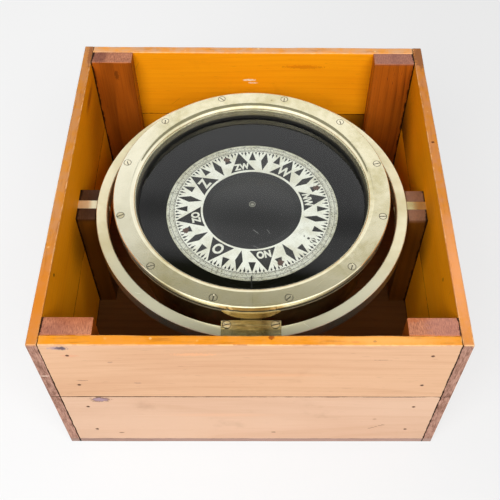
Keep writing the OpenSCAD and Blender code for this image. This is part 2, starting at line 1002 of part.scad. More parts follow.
module card_magnets() {
    color(steel) magnet_places()
        cylinder(h = magnet_l, r = magnet_r, center = true, $fn = 48);
}

floor_board(-1);  // floor_board_front
floor_board(1);  // floor_board_back
front_board(floor_t, seam_z);  // front_panel_lower
front_board(seam_z, box_h);  // front_panel_upper
back_board(floor_t, back_seam_z);  // back_panel_lower
back_board(back_seam_z, box_h);  // back_panel_upper
side_board(-1, floor_t, seam_z);  // left_side_lower
side_board(-1, seam_z, box_h);  // left_side_upper
side_board(1, floor_t, seam_z);  // right_side_lower
side_board(1, seam_z, box_h);  // right_side_upper
corner_block(-1, -1);  // corner_block_front_left
corner_block(1, -1);  // corner_block_front_right
corner_block(-1, 1);  // corner_block_back_left
corner_block(1, 1);  // corner_block_back_right
gimbal_post(-1);  // left_gimbal_post
gimbal_post(1);  // right_gimbal_post
bearing_block(-1);  // left_bearing_block
bearing_block(1);  // right_bearing_block
wall_nails();
floor_nails();
post_screws();
gimbal_ring();
ring_trunnion(-1);  // left_ring_trunnion
ring_trunnion(1);  // right_ring_trunnion
bearing_cap(-1);  // front_bearing_cap
bearing_cap(1);  // back_bearing_cap
bearing_cap_screws();
bowl_body();
bowl_rim();
trunnion_bracket(-1);  // front_trunnion_bracket
trunnion_bracket(1);  // back_trunnion_bracket
bowl_trunnion(-1);  // front_bowl_trunnion
bowl_trunnion(1);  // back_bowl_trunnion
bezel_ring();
bezel_screws();
bezel_gasket();
top_glass();
glass_gasket();
lubber_pointer();
pivot_bridge();
bridge_screws();
pivot_stem();
pivot_pin();
filler_plug();
filler_washer();
expansion_diaphragm();
cover_flange();
bottom_cover();
cover_screws();
ballast_ring();
ballast_screws();
card_disc();
card_points();
float_upper_shell();
float_lower_shell();
float_tunnel();
card_cap();
cap_jewel();
magnet_carrier();
card_magnets();
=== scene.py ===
import math
from functools import partial, reduce
import bpy
import numpy as np
from mathutils import Matrix, Vector


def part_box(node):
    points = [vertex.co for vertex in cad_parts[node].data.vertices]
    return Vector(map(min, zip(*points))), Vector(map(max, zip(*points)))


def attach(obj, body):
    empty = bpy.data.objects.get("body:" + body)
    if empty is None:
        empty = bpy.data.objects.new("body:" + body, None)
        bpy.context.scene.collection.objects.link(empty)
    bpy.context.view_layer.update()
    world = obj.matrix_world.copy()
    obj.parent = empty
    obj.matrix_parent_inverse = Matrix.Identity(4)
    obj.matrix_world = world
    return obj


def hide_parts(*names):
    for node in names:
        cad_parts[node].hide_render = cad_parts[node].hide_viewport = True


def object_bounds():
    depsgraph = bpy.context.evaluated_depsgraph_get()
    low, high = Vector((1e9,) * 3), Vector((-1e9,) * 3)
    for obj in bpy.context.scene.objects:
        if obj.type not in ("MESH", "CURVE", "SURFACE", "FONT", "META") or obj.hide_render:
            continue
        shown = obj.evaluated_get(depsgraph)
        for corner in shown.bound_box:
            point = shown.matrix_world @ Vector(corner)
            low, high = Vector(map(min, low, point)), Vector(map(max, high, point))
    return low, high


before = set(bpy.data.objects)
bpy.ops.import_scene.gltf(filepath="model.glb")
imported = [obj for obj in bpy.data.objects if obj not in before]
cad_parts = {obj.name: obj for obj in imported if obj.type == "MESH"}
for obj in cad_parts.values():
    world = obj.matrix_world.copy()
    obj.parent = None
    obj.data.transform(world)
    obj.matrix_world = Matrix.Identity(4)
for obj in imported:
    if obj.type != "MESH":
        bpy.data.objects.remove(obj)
cadLow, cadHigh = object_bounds()
mm = 0.001
work = {}  # the node tree that is being filled, and a material's output node
print("frame loaded:", len(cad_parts), "nodes")

scene = bpy.context.scene
scene.view_settings.view_transform = "Standard"


# Small helpers

def linear(red, green, blue):
    # a colour as an editor shows it, 0 to 255, turned into linear light
    parts = np.array([red, green, blue]) / 255
    light = np.where(parts <= 0.04045, parts / 12.92, ((parts + 0.055) / 1.055) ** 2.4)
    return (*light.tolist(), 1.0)


def feed(node, inputs):
    # links each input that is a socket and sets each that is a value
    for key, value in inputs.items():
        if isinstance(value, bpy.types.NodeSocket):
            work["tree"].links.new(value, node.inputs[key])
        else:
            node.inputs[key].default_value = value
    return node


def put(kind, inputs=None, **settings):
    # adds a shader node to the tree that is being filled
    node = work["tree"].nodes.new(kind)
    for key, value in settings.items():
        setattr(node, key, value)
    return feed(node, inputs or {})


def calc(operation, first, second=0.0, third=0.0, clamp=False):
    node = put("ShaderNodeMath", {0: first, 1: second, 2: third}, operation=operation, use_clamp=clamp)
    return node.outputs[0]


plus, minus, times, divide, most, least, absolute, timesPlus = (
    partial(calc, operation) for operation in (
        "ADD", "SUBTRACT", "MULTIPLY", "DIVIDE", "MAXIMUM", "MINIMUM", "ABSOLUTE", "MULTIPLY_ADD"))


def reach(first, second):
    # the distance that two distances at right angles make
    return calc("SQRT", plus(times(first, first), times(second, second)))


def fade(value, start, end, low=0.0, high=1.0):
    # a smooth step from low at start to high at end
    limits = {"Value": value, "From Min": start, "From Max": end, "To Min": low, "To Max": high}
    return put("ShaderNodeMapRange", limits, interpolation_type="SMOOTHSTEP").outputs["Result"]


def fadeAt(value, level, start, end):
    # a smooth step between two places that lie start and end mm past a level
    return fade(value, level + start * mm, level + end * mm)


def bandAt(value, level, start, end):
    # 1 at a level and 0 further off: start and end are distances from it in mm
    return fade(absolute(minus(value, level)), start * mm, end * mm)


def blendColour(share, first, second, mode="MIX"):
    inputs = {0: share, 6: first, 7: second}
    return put("ShaderNodeMix", inputs, data_type="RGBA", blend_type=mode).outputs[2]


def tint(colour, share, goal):
    # goal is a colour as an editor shows it
    return blendColour(share, colour, linear(*goal))


def noiseOf(vector, scale, detail=3.0, roughness=0.55, distortion=0.0):
    return put("ShaderNodeTexNoise", {"Vector": vector, "Scale": scale, "Detail": detail, "Roughness": roughness,
                                      "Distortion": distortion}).outputs["Fac"]


def cellsOf(vector, scale):
    return put("ShaderNodeTexVoronoi", {"Vector": vector, "Scale": scale}).outputs


def vectorMath(operation, first, second=(0, 0, 0)):
    return put("ShaderNodeVectorMath", {0: first, 1: second}, operation=operation).outputs


def stretch(vector, factors):
    return vectorMath("MULTIPLY", vector, factors)[0]


def shift(vector, offset):
    return vectorMath("ADD", vector, offset)[0]


def between(start, end):
    return vectorMath("SUBTRACT", end, start)[0]


def axes(vector):
    return put("ShaderNodeSeparateXYZ", {0: vector}).outputs


def joined(first, second, third):
    return put("ShaderNodeCombineXYZ", {0: first, 1: second, 2: third}).outputs[0]


def newGroup(name, inputs, outputs):
    # inputs and outputs are names, each with f, v or c for a value, a vector or a colour
    tree = work["tree"] = bpy.data.node_groups.new(name, "ShaderNodeTree")
    kinds = {"f": "NodeSocketFloat", "v": "NodeSocketVector", "c": "NodeSocketColor"}
    for way, sockets in (("INPUT", inputs), ("OUTPUT", outputs)):
        for label, kind in sockets.items():
            tree.interface.new_socket(name=label, in_out=way, socket_type=kinds[kind])
    return tree.nodes.new("NodeGroupInput").outputs, tree.nodes.new("NodeGroupOutput")


def useGroup(group, inputs):
    return put("ShaderNodeGroup", inputs, node_tree=group).outputs


def newMaterial(name):
    material = bpy.data.materials.new(name)
    material.use_nodes = True
    work["tree"] = material.node_tree
    work["tree"].nodes.clear()
    surface = put("ShaderNodeBsdfPrincipled")
    work["output"] = put("ShaderNodeOutputMaterial", {"Surface": surface.outputs[0]})
    return material, surface


def objectPlace():
    return put("ShaderNodeTexCoord").outputs


def bump(surface, height, distance):
    node = put("ShaderNodeBump", {"Height": height, "Distance": distance, "Strength": 1.0})
    feed(surface, {"Normal": node.outputs[0]})


# Shared shader groups

def makeEdgeGroup():
    # how near a point on a box's surface is to the box's nearest edge: of its three distances to
    # the box's faces the least is nearly 0, and the next is the distance to the edge
    given, out = newGroup("edgeWear", {"Place": "v", "Low": "v", "High": "v", "Width": "f"}, {"Edge": "f"})
    sides = between(given["Low"], given["Place"]), between(given["Place"], given["High"])
    part = axes(vectorMath("MINIMUM", *sides)[0])
    total = reduce(plus, part)
    second = minus(minus(total, reduce(least, part)), reduce(most, part))
    ragged = noiseOf(given["Place"], 160.0, 4.0)
    width = times(given["Width"], fade(ragged, 0.3, 0.7, 0.25, 1.6))
    feed(out, {"Edge": fade(divide(second, width), 1.0, 0.3)})
    return work["tree"]


def makeGrainGroup():
    # sawn wood: rings round a far pith, wandering along the grain, with fine fibres and flecks;
    # the grain runs along the vector's X
    given, out = newGroup("woodGrain", {"Vector": "v", "Light": "c", "Dark": "c", "Rings": "f", "Spacing": "f",
                                        "Flecks": "f"}, {"Color": "c", "Height": "f"})
    place = given["Vector"]
    wander = noiseOf(stretch(place, (1.6, 7.0, 7.0)), 1.0, 2.0, 0.4)
    part = axes(place)
    radius = vectorMath("DISTANCE", joined(0.0, part[1], part[2]), (0, 0.11, 0.05))["Value"]
    phase = calc("FRACT", divide(plus(radius, times(wander, 0.055)), given["Spacing"]))
    late = times(fade(phase, 0.35, 0.92), fade(phase, 1.0, 0.93))
    uneven = noiseOf(stretch(place, (3.0, 40.0, 40.0)), 1.0, 2.0)
    late = times(late, fade(uneven, 0.25, 0.7, 0.25, 1.0))
    fibre = noiseOf(stretch(place, (14.0, 700.0, 700.0)), 1.0, 4.0, 0.65)
    broad = noiseOf(stretch(place, (4.0, 16.0, 16.0)), 1.0, 3.0)
    share = plus(times(late, given["Rings"]), fade(fibre, 0.35, 0.75, -0.04, 0.22))
    share = plus(share, fade(broad, 0.3, 0.75, -0.1, 0.28), clamp=True)
    colour = blendColour(share, given["Light"], given["Dark"])
    fleck = noiseOf(stretch(place, (70.0, 900.0, 900.0)), 1.0, 2.0)
    fleck = times(fade(fleck, 0.66, 0.78), given["Flecks"])
    height = minus(times(fibre, 0.5), times(late, 0.35))
    feed(out, {"Color": tint(colour, fleck, (70, 38, 20)), "Height": minus(height, fleck)})
    return work["tree"]


def makeScratchGroup():
    # straight scratches: through each scattered point a thin slab, turned at random and cut off at a
    # radius, which draws a short straight line on any flat face near that point
    given, out = newGroup("scratches", {"Vector": "v", "Scale": "f", "Width": "f", "Length": "f", "Share": "f"},
                          {"Mask": "f"})
    cell = cellsOf(given["Vector"], given["Scale"])
    local = between(cell["Position"], given["Vector"])
    turn = vectorMath("NORMALIZE", shift(cell["Color"], (-0.5, -0.5, -0.5)))[0]
    across = absolute(vectorMath("DOT_PRODUCT", local, turn)["Value"])
    line = fade(divide(across, given["Width"]), 1.0, 0.3)
    line = times(line, fade(divide(vectorMath("LENGTH", local)["Value"], given["Length"]), 1.0, 0.6))
    chosen = calc("LESS_THAN", axes(cell["Color"])[1], given["Share"])
    feed(out, {"Mask": times(line, chosen)})
    return work["tree"]


def makeMarkGroup():
    # one knot, stain, bruise or patch of painted shade: an ellipse round a centre with a ragged edge, full strength
    # within Core
    given, out = newGroup("woodMark", {"Place": "v", "Centre": "v", "Size": "v", "Ragged": "f", "Core": "f"},
                          {"Mask": "f"})
    away = vectorMath("DIVIDE", between(given["Centre"], given["Place"]), given["Size"])[0]
    ragged = times(fade(noiseOf(given["Place"], 500.0, 3.0), 0.3, 0.7, -1.0, 1.0), given["Ragged"])
    feed(out, {"Mask": fade(plus(vectorMath("LENGTH", away)["Value"], ragged), 1.1, given["Core"])})
    return work["tree"]


def makeTarnishGroup():
    # old polished brass: broad clouds of tarnish, small dark spots and dull patches
    given, out = newGroup("tarnish", {"Vector": "v", "Bright": "c", "Dull": "c", "Amount": "f"},
                          {"Color": "c", "Dullness": "f", "Height": "f"})
    place = given["Vector"]
    cloud = noiseOf(place, 16.0, 4.0, 0.6, 0.4)
    fine = noiseOf(place, 130.0, 3.0, 0.6)
    dull = times(fade(plus(times(cloud, 0.75), times(fine, 0.25)), 0.38, 0.68), given["Amount"])
    colour = blendColour(dull, given["Bright"], given["Dull"])
    spot = times(fade(cellsOf(place, 90.0)["Distance"], 0.14, 0.05), fade(noiseOf(place, 35.0, 1.0), 0.62, 0.70))
    feed(out, {"Color": tint(colour, times(spot, 0.4), (110, 92, 50)),
               "Dullness": plus(dull, times(spot, 0.6), clamp=True), "Height": minus(times(fine, 0.4), spot)})
    return work["tree"]


# nails stand one above another at four levels, in mm, those of the sides a little lower
nailPlaces = {"levels": (34, 90, 139, 197.5), "sideShift": -11, "frontAcross": 162, "sideAcross": 176}
nailStain = {"radius": 3.8 * mm, "core": 1.9 * mm, "ragged": 2.2 * mm}


def makeNailStainGroup():
    # a dark stain round each nail
    given, out = newGroup("nailStain", {"Across": "f", "Up": "f", "Ragged": "f"}, {"Mask": "f"})
    nearest = reduce(least, [absolute(minus(given["Up"], level * mm)) for level in nailPlaces["levels"]])
    distance = plus(reach(given["Across"], nearest), times(given["Ragged"], nailStain["ragged"]))
    feed(out, {"Mask": fade(distance, nailStain["radius"], nailStain["core"])})
    return work["tree"]


edgeGroup = makeEdgeGroup()
grainGroup = makeGrainGroup()
scratchGroup = makeScratchGroup()
markGroup = makeMarkGroup()
tarnishGroup = makeTarnishGroup()
nailStainGroup = makeNailStainGroup()
print("shader groups made")


def scratchesOn(place, scale, width, length, share):
    # width and length in mm, and the share of the scattered points that have a scratch
    return useGroup(scratchGroup, {"Vector": place, "Scale": scale, "Width": width * mm, "Length": length * mm,
                                   "Share": share})["Mask"]


# Wood

# light and dark are the grain's colours, dirt that of stains and scratches, worn that of rubbed edges and
# end the end grain's; bump is in mm
woodParts = ("light", "dark", "dirt", "worn", "end", "endDark",
             "rings", "spacing", "flecks", "rough", "coat", "specular", "bump")
woodRows = {
    "palePine": ((213, 171, 137), (186, 136, 100), (130, 88, 62), (240, 190, 134), (186, 144, 126), (116, 80, 66),
                 0.11, 0.005, 0.8, 0.55, 0.0, 0.06, 0.04),
    "floorEdge": ((166, 136, 124), (118, 92, 82), (60, 42, 36), (170, 140, 126)),
    "paleLower": ((214, 178, 151), (192, 148, 118), (130, 92, 70), (240, 200, 156)),
    "amberPine": ((252, 160, 16), (226, 122, 6), (120, 56, 12), (222, 164, 112), (186, 144, 126), (116, 80, 66),
                  0.18, 0.0058, 0.25, 0.58, 0.0, 0.08, 0.03),
    "floorPine": ((112, 72, 36), (76, 44, 20), (40, 24, 12), (150, 118, 98), (168, 132, 118), (110, 78, 66),
                  0.25, 0.007, 0.9, 0.5, 0.0, 0.1, 0.08),
    "mahogany": ((176, 90, 20), (74, 30, 6), (44, 20, 10), (206, 130, 84), (204, 136, 102), (132, 80, 62),
                 0.36, 0.0066, 0.9, 0.34, 0.12, 0.15, 0.06),
    "postWood": ((112, 66, 16), (66, 36, 8), (44, 20, 10), (150, 104, 70), (138, 98, 66), (84, 56, 38),
                 0.34, 0.009, 0.8, 0.4, 0.1, 0.15, 0.06),
}
woodLooks = {look: dict(zip(woodParts, [linear(*v) if isinstance(v, tuple) else v for v in row]))
             for look, row in woodRows.items()}
# where boards meet: the planes of the joints and the width of the dark line there
joint = {"line": 0.85 * mm, "blockLine": 2.6 * mm, "side": 185 * mm, "outside": 194.2 * mm, "rim": 216.2 * mm}
# edge is the rubbed edges' width, scratch what scratchesOn takes, broad the half size in mm from which a
# mark is soft-edged, as the broad stains and the patches of painted shade are, and nailFace how far out the nails'
# faces lie
woodWear = {"edge": 1.1 * mm, "scratch": (22.0, 0.22, 11, 0.16), "broad": 29, "nailFace": (192 * mm, 194.5 * mm)}
brassScratch, floatScratch = (60.0, 0.09, 5, 0.3), (60.0, 0.35, 4.5, 0.14)


def woodMaterial(name, look, low, high, grainAxis, seed, stain=None, outer=None, rimTop=None, joints=(), marks=()):
    # grainAxis is 0, 1 or 2 for grain along X, Y or Z; stain says where nails mark the board, outer is
    # the look of the box's outside, rimTop how bare and how dark the top is, joints the dark lines, marks
    # the blemishes and the patches of painted shade
    tone = woodLooks[look]
    material, surface = newMaterial(name)
    coordinate = objectPlace()
    place = coordinate["Object"]
    part = axes(place)
    wide, deep = absolute(part[0]), absolute(part[1])
    outside = fadeAt(most(wide, deep), joint["outside"], -0.4, 0.3)
    order = {0: (0, 1, 2), 1: (1, 0, 2), 2: (2, 0, 1)}[grainAxis]
    along = shift(joined(*[part[a] for a in order]), (seed * 1.37, seed * 0.011, seed * 0.007))
    light, dark, dirt = (blendColour(outside, tone[k], woodLooks[outer][k]) if outer else tone[k]
                         for k in ("light", "dark", "dirt"))
    grain = useGroup(grainGroup, {"Vector": along, "Light": light, "Dark": dark, "Rings": tone["rings"],
                                  "Spacing": tone["spacing"], "Flecks": tone["flecks"]})
    colour = grain["Color"]
    smudge = noiseOf(shift(place, (seed, 0.0, 0.0)), 18.0, 4.0, 0.6)
    patches = noiseOf(shift(place, (0.0, seed, 0.0)), 75.0, 5.0, 0.65)
    # the rubbed top of the box
    top = fadeAt(part[2], joint["rim"], -0.5, 0.3)
    bare = times(top, fade(patches, 0.35, 0.62, 0.35, 1.0))
    if rimTop:
        wearShare, wornColour, darker = rimTop
        colour = blendColour(top, colour, (darker, darker, darker, 1), "MULTIPLY")
        colour = tint(colour, times(bare, wearShare, clamp=True), wornColour)
        streaks = noiseOf(stretch(along, (26.0, 260.0, 260.0)), 1.0, 4.0, 0.7)
        colour = blendColour(times(top, fade(streaks, 0.52, 0.72, 0.0, 0.4)), colour, tone["dirt"])
        nick = times(fade(cellsOf(along, 95.0)["Distance"], 0.16, 0.08), fade(smudge, 0.52, 0.60))
        colour = tint(colour, times(top, times(nick, 0.7)), (255, 214, 150))
    # end grain, only on the faces across the grain
    endFace = fade(absolute(axes(coordinate["Normal"])[grainAxis]), 0.75, 0.95)
    fineness = (1300.0, 240.0, 240.0) if grainAxis == 2 else (700.0, 700.0, 110.0)
    pores = plus(times(patches, 0.3), times(noiseOf(stretch(place, fineness), 1.0, 3.0, 0.65), 0.7))
    colour = blendColour(endFace, colour, blendColour(fade(pores, 0.34, 0.68), tone["end"], tone["endDark"]))
    colour = blendColour(fade(smudge, 0.60, 0.85, 0.0, 0.3), colour, dirt)
    # rubbed edges along the rim and at the outer corners
    wear = useGroup(edgeGroup, {"Place": place, "Low": tuple(low), "High": tuple(high), "Width": woodWear["edge"]})
    upper = fadeAt(part[2], joint["rim"], -2.6, -0.8)
    rubbed = times(times(wear["Edge"], upper), fade(smudge, 0.65, 0.35, 0.2, 0.7))
    colour = blendColour(rubbed, colour, woodLooks[outer or look]["worn"])
    scratch = scratchesOn(place, *woodWear["scratch"])
    colour = blendColour(times(scratch, 0.45), colour, dirt)
    if stain:
        across = minus(absolute(part[stain["axis"]]), stain["across"] * mm)
        up = minus(part[2], stain["shift"] * mm)
        fine = noiseOf(place, 420.0, 3.0, 0.7)
        mark = useGroup(nailStainGroup, {"Across": across, "Up": up, "Ragged": fine})["Mask"]
        faceOnly = fade(absolute(part[1 - stain["axis"]]), *woodWear["nailFace"])
        colour = tint(colour, times(times(mark, faceOnly), 0.45), (120, 86, 56))
    # marks: blemishes, and on the side walls and the back wall patches of painted shade
    for centre, size, shade, strength in marks:
        ragged, core = (0.05, 0.1) if max(size) > woodWear["broad"] else (0.25, 0.6)
        mask = useGroup(markGroup, {"Place": place, "Centre": tuple(c * mm for c in centre),
                                    "Size": tuple(c * mm for c in size), "Ragged": ragged, "Core": core})["Mask"]
        colour = tint(colour, times(mask, strength), shade)
    # dark lines where boards meet, of uneven width
    uneven = fade(patches, 0.36, 0.64, 0.55, 1.5)
    width = joint["blockLine"] if grainAxis == 2 else joint["line"]
    lines = [fade(divide(absolute(minus(value, level)), uneven), line, line * core) for value, level, line, core in
             [*[(part[2], level, joint["line"], 0.35) for level in joints], (wide, joint["side"], width, 0.4)]]
    if grainAxis == 1:
        lines[-1] = times(lines[-1], fadeAt(deep, joint["outside"], -0.4, 0))
    dark = reduce(most, lines)
    colour = tint(colour, times(dark, 0.96), (26, 11, 4))
    rough = fade(smudge, 0.35, 0.75, tone["rough"] - 0.06, tone["rough"] + 0.16)
    rough = plus(rough, times(most(rubbed, bare), 0.15))
    if outer:
        rough = timesPlus(outside, 0.15, rough)
    feed(surface, {"Base Color": colour, "Roughness": timesPlus(dark, 0.4, rough),
                   "Coat Weight": tone["coat"], "Coat Roughness": 0.18, "Specular IOR Level": tone["specular"]})
    bump(surface, minus(grain["Height"], times(scratch, 0.8)), tone["bump"] * mm)
    return material


# Mesh building

def meshFrom(name, vertices, faces, smooth=True):
    mesh = bpy.data.meshes.new(name)
    mesh.from_pydata(np.asarray(vertices, float).tolist(), [], faces)
    mesh.validate()
    mesh.update()
    mesh.polygons.foreach_set("use_smooth", [smooth] * len(mesh.polygons))
    thing = bpy.data.objects.new(name, mesh)
    scene.collection.objects.link(thing)
    return thing


def gridFaces(rows, columns):
    # quads of a tube of rows by columns points, counted row by row
    row, column = np.meshgrid(np.arange(rows - 1), np.arange(columns), indexing="ij")
    after = (column + 1) % columns
    upper = (row + 1) * columns
    corners = np.stack([row * columns + column, row * columns + after, upper + after, upper + column], -1)
    return corners.reshape(-1, 4).tolist()


def dress(thing, material, body, slotName, *nodes):
    thing.data.materials.clear()
    thing.data.materials.append(material)
    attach(thing, body)
    if nodes:
        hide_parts(*nodes)
    return thing


# Boards and corner blocks of the box

boardShape = {"rimEase": 1.1 * mm, "seamEase": 0.6 * mm, "endEase": 0.6 * mm, "wear": 0.55, "station": 5 * mm,
              "arcSteps": 5, "support": 0.5 * mm, "dents": 9, "dentDepth": 0.5 * mm, "endSteps": 4,
              "waves": 14, "dentShare": (0.2, 1), "dentWidth": (1.5, 6)}


def wavy(generator, count, knots):
    # smooth random values from -1 to 1: even knots joined by cosine steps
    values = generator.uniform(-1, 1, knots + 2)
    spot = np.linspace(0, knots, count)
    left = np.floor(spot).astype(int)
    share = (1 - np.cos(np.pi * (spot - left))) / 2
    return values[left] * (1 - share) + values[left + 1] * share


def boardMesh(name, low, high, axis, eases, seed):
    # a board as a rounded rectangle carried along its length: each corner's radius wanders and has
    # dents, and near each end the section draws in along a quarter circle
    shape = boardShape
    generator = np.random.default_rng(seed)
    low, high = np.array(low), np.array(high)
    middle, half = (low + high) / 2, (high - low) / 2
    sides = [a for a in range(3) if a != axis]
    turn = np.linspace(0, np.pi / 2, shape["endSteps"])
    ends = np.concatenate([shape["endEase"] * (1 - np.cos(turn)), [shape["endEase"] + shape["support"]]])
    inset = np.concatenate([shape["endEase"] * (1 - np.sin(turn)), [0]])
    count = int((2 * half[axis] - 2 * ends[-1]) / shape["station"]) + 2
    inner = np.linspace(-half[axis] + ends[-1], half[axis] - ends[-1], count)
    along = np.concatenate([-half[axis] + ends[:-1], inner, half[axis] - ends[:-1][::-1]])
    drawn = np.concatenate([inset[:-1], np.zeros(count), inset[:-1][::-1]])
    sections = []
    for corner, sign in enumerate(((1, 1), (-1, 1), (-1, -1), (1, -1))):
        ease = eases[corner] * (1 + shape["wear"] * wavy(generator, len(along), shape["waves"]))
        for spot, share, width in zip(generator.uniform(along[0], along[-1], shape["dents"]),
                                      generator.uniform(*shape["dentShare"], shape["dents"]),
                                      generator.uniform(*shape["dentWidth"], shape["dents"]) * mm):
            dent = share ** 2 * shape["dentDepth"] * np.exp(-((along - spot) / width) ** 2)
            ease = ease + dent * (eases[corner] > shape["endEase"])
        angles = (corner + np.linspace(0, 1, shape["arcSteps"])) * np.pi / 2
        arc = np.stack([np.cos(angles), np.sin(angles)], -1)
        arcs = (sign * (half[sides] - drawn[:, None] - ease[:, None]))[:, None] + ease[:, None, None] * arc
        before, after = shape["support"] * np.array([[arc[0, 1], -arc[0, 0]], [-arc[-1, 1], arc[-1, 0]]])
        sections.append(np.concatenate([arcs[:, :1] + before, arcs, arcs[:, -1:] + after], 1))
    section = np.concatenate(sections, 1)
    columns = section.shape[1]
    points = np.zeros((len(along), columns, 3))
    points[..., axis] = along[:, None]
    points[..., sides] = section
    points = points.reshape(-1, 3) + middle
    faces = gridFaces(len(along), columns)
    last = (len(along) - 1) * columns
    faces += [list(range(columns))[::-1], list(range(last, last + columns))]
    if axis != 1:
        faces = [f[::-1] for f in faces]
    board = meshFrom(name, points, faces)
    smooth = np.ones(len(board.data.polygons), bool)
    smooth[-2:] = False
    board.data.polygons.foreach_set("use_smooth", smooth)
    return board


def faceOutwards(thing):
    # turns the mesh's faces so that its signed volume is positive
    mesh = thing.data
    mesh.calc_loop_triangles()
    points = np.empty(len(mesh.vertices) * 3)
    mesh.vertices.foreach_get("co", points)
    corners = np.empty(len(mesh.loop_triangles) * 3, int)
    mesh.loop_triangles.foreach_get("vertices", corners)
    a, b, c = points.reshape(-1, 3)[corners.reshape(-1, 3)].transpose(1, 0, 2)
    if (a * np.cross(b, c)).sum() < 0:
        mesh.flip_normals()
    return thing


rim, seam = boardShape["rimEase"], boardShape["seamEase"]
upperEase, lowerEase = (rim, rim, seam, seam), (seam, seam, seam, seam)
frontStain = {"axis": 0, "across": nailPlaces["frontAcross"], "shift": 0}
sideStain = {"axis": 1, "across": nailPlaces["sideAcross"], "shift": nailPlaces["sideShift"]}
greyKnot, paleKnot, darkDot, faintDot = (98, 88, 96), (160, 136, 146), (100, 72, 50), (176, 138, 112)
# blemishes and patches of painted shade in mm: centre, half sizes, colour and strength
boardMarks = {
    "front_panel_upper": [
        ((-168, -195, 211), (10, 3, 3), paleKnot, 0.8), ((-164.6, -195, 210.8), (5.8, 3, 3.5), greyKnot, 0.85),
        ((-165.2, -195, 211.3), (3.4, 3, 1.3), (74, 60, 66), 0.6),
        ((-160, -195, 197), (9, 3, 2.6), (214, 152, 118), 0.5), ((-157, -195, 148), (6, 3, 0.7), darkDot, 0.6),
        ((-126, -195, 185), (2.5, 3, 1.6), faintDot, 0.8), ((-106, -195, 143), (4, 3, 1.5), faintDot, 0.8),
        ((118, -195, 190), (8, 3, 0.7), darkDot, 0.4), ((18.3, -187.4, 217), (3, 2.4, 2), (150, 70, 20), 0.85),
        ((108.3, -191, 217), (1.8, 1.3, 2), (80, 38, 12), 0.9),
        ((92, -191.5, 217), (4, 1.3, 2), (196, 110, 40), 0.6), ((120, -190, 217), (75, 8, 3), (255, 190, 116), 0.5),
        ((-120, -190, 217), (65, 8, 3), (222, 138, 48), 0.35),
        ((-50, -195, 200), (22, 3, 3), (240, 172, 120), 0.35), ((20, -195, 160), (60, 3, 5), (222, 160, 116), 0.30)],
    "front_panel_lower": [
        ((-147.4, -195, 106.6), (10.4, 3, 5.8), (104, 68, 58), 0.85),
        ((-147.4, -195, 106.2), (7.8, 3, 4.0), paleKnot, 1.0), ((-147.4, -195, 112), (4, 3, 1), (60, 44, 40), 0.8),
        ((-137.4, -195, 24.3), (2.6, 3, 1.4), darkDot, 0.8), ((23.3, -195, 25.9), (2.4, 3, 1.4), darkDot, 0.7),
        *[((124 + 3.2 * k, -195, 36.4 + 2.2 * k), (2.3, 3, 0.9), darkDot, 0.55) for k in range(5)],
        ((127, -195, 60), (2.6, 3, 1.6), faintDot, 0.8), ((-30, -195, 70), (70, 3, 6), (226, 176, 140), 0.35)],
    "back_panel_upper": [
        ((-5, 185, 175.5), (8, 3, 1.7), (252, 230, 198), 0.9), ((0, 185, 171), (6, 3, 1.1), (252, 226, 190), 0.75),
        ((60, 185, 196), (26, 3, 3), (196, 96, 8), 0.5)],
    # the back wall's lower board: the large dark patch low on its right is painted shade
    "back_panel_lower": [
        ((135, 185, 104), (60, 3, 48), (84, 42, 6), 0.8)],
    # left wall: the first two dark patches, towards the back corner and beside the post, are painted shade
    "left_side_upper": [
        ((-185, 140, 150), (3, 76, 60), (112, 56, 6), 0.5), ((-185, -30, 140), (3, 44, 50), (84, 44, 6), 0.55),
        ((-185, -114, 204), (3, 2.2, 3.2), (70, 34, 8), 0.8), ((-185, 130, 196), (3, 30, 8), (150, 66, 22), 0.75),
        ((-187, 180, 217), (3, 22, 3), (130, 78, 56), 0.6), ((-191, -195, 157.4), (5, 3, 1), (232, 204, 186), 0.8),
        ((-190, -150, 217), (14, 70, 4), (212, 124, 34), 0.7)],
    # right wall: the first two dark patches, towards the back corner and beside the post, are painted shade
    "right_side_upper": [
        ((185, 165, 108), (3, 80, 100), (70, 36, 6), 0.9), ((185, -22, 132), (3, 36, 80), (84, 44, 6), 0.55),
        ((185, -107, 187), (3, 2, 3), (96, 46, 10), 0.6), ((192, 180, 217), (8, 22, 3), (132, 86, 60), 0.75),
        ((189.8, 46, 217), (2.2, 1.5, 2), (96, 52, 24), 0.9), ((190, -120, 217), (14, 90, 4), (250, 172, 116), 0.5)],
    "corner_block_back_left": [
        ((-158, 167, 198), (2.8, 3, 8), (52, 24, 10), 0.5), ((-176, 176, 217), (9, 12, 3), (104, 56, 48), 0.6)],
    "corner_block_back_right": [
        ((162, 176, 217), (60, 34, 3), (134, 98, 98), 0.4)],
    "corner_block_front_left": [
        ((-152, -166, 217), (36, 16, 3), (172, 88, 44), 0.45), ((-174, -180, 217), (30, 11, 3), (124, 74, 70), 0.35)],
    "corner_block_front_right": [
        ((140, -164, 217), (24, 10, 3), (176, 92, 44), 0.5), ((172, -176, 217), (20, 14, 3), (162, 116, 114), 0.35)],
}
# each wall: the lower board's look outside, slot, axis, stain, and its rim: how much of it is bare, the bare
# wood's colour and how much darker its top is made
walls = {
    "front_panel": ("paleLower", "pale_pine", 0, frontStain, (0.3, (232, 164, 96), 0.82)),
    "back_panel": ("palePine", "pine", 0, frontStain, (0.8, (224, 176, 138), 1.0)),
    "left_side": ("palePine", "pine", 1, sideStain, (0.7, (196, 140, 98), 0.70)),
    "right_side": ("palePine", "pine", 1, sideStain, (0.65, (200, 136, 98), 0.68)),
}
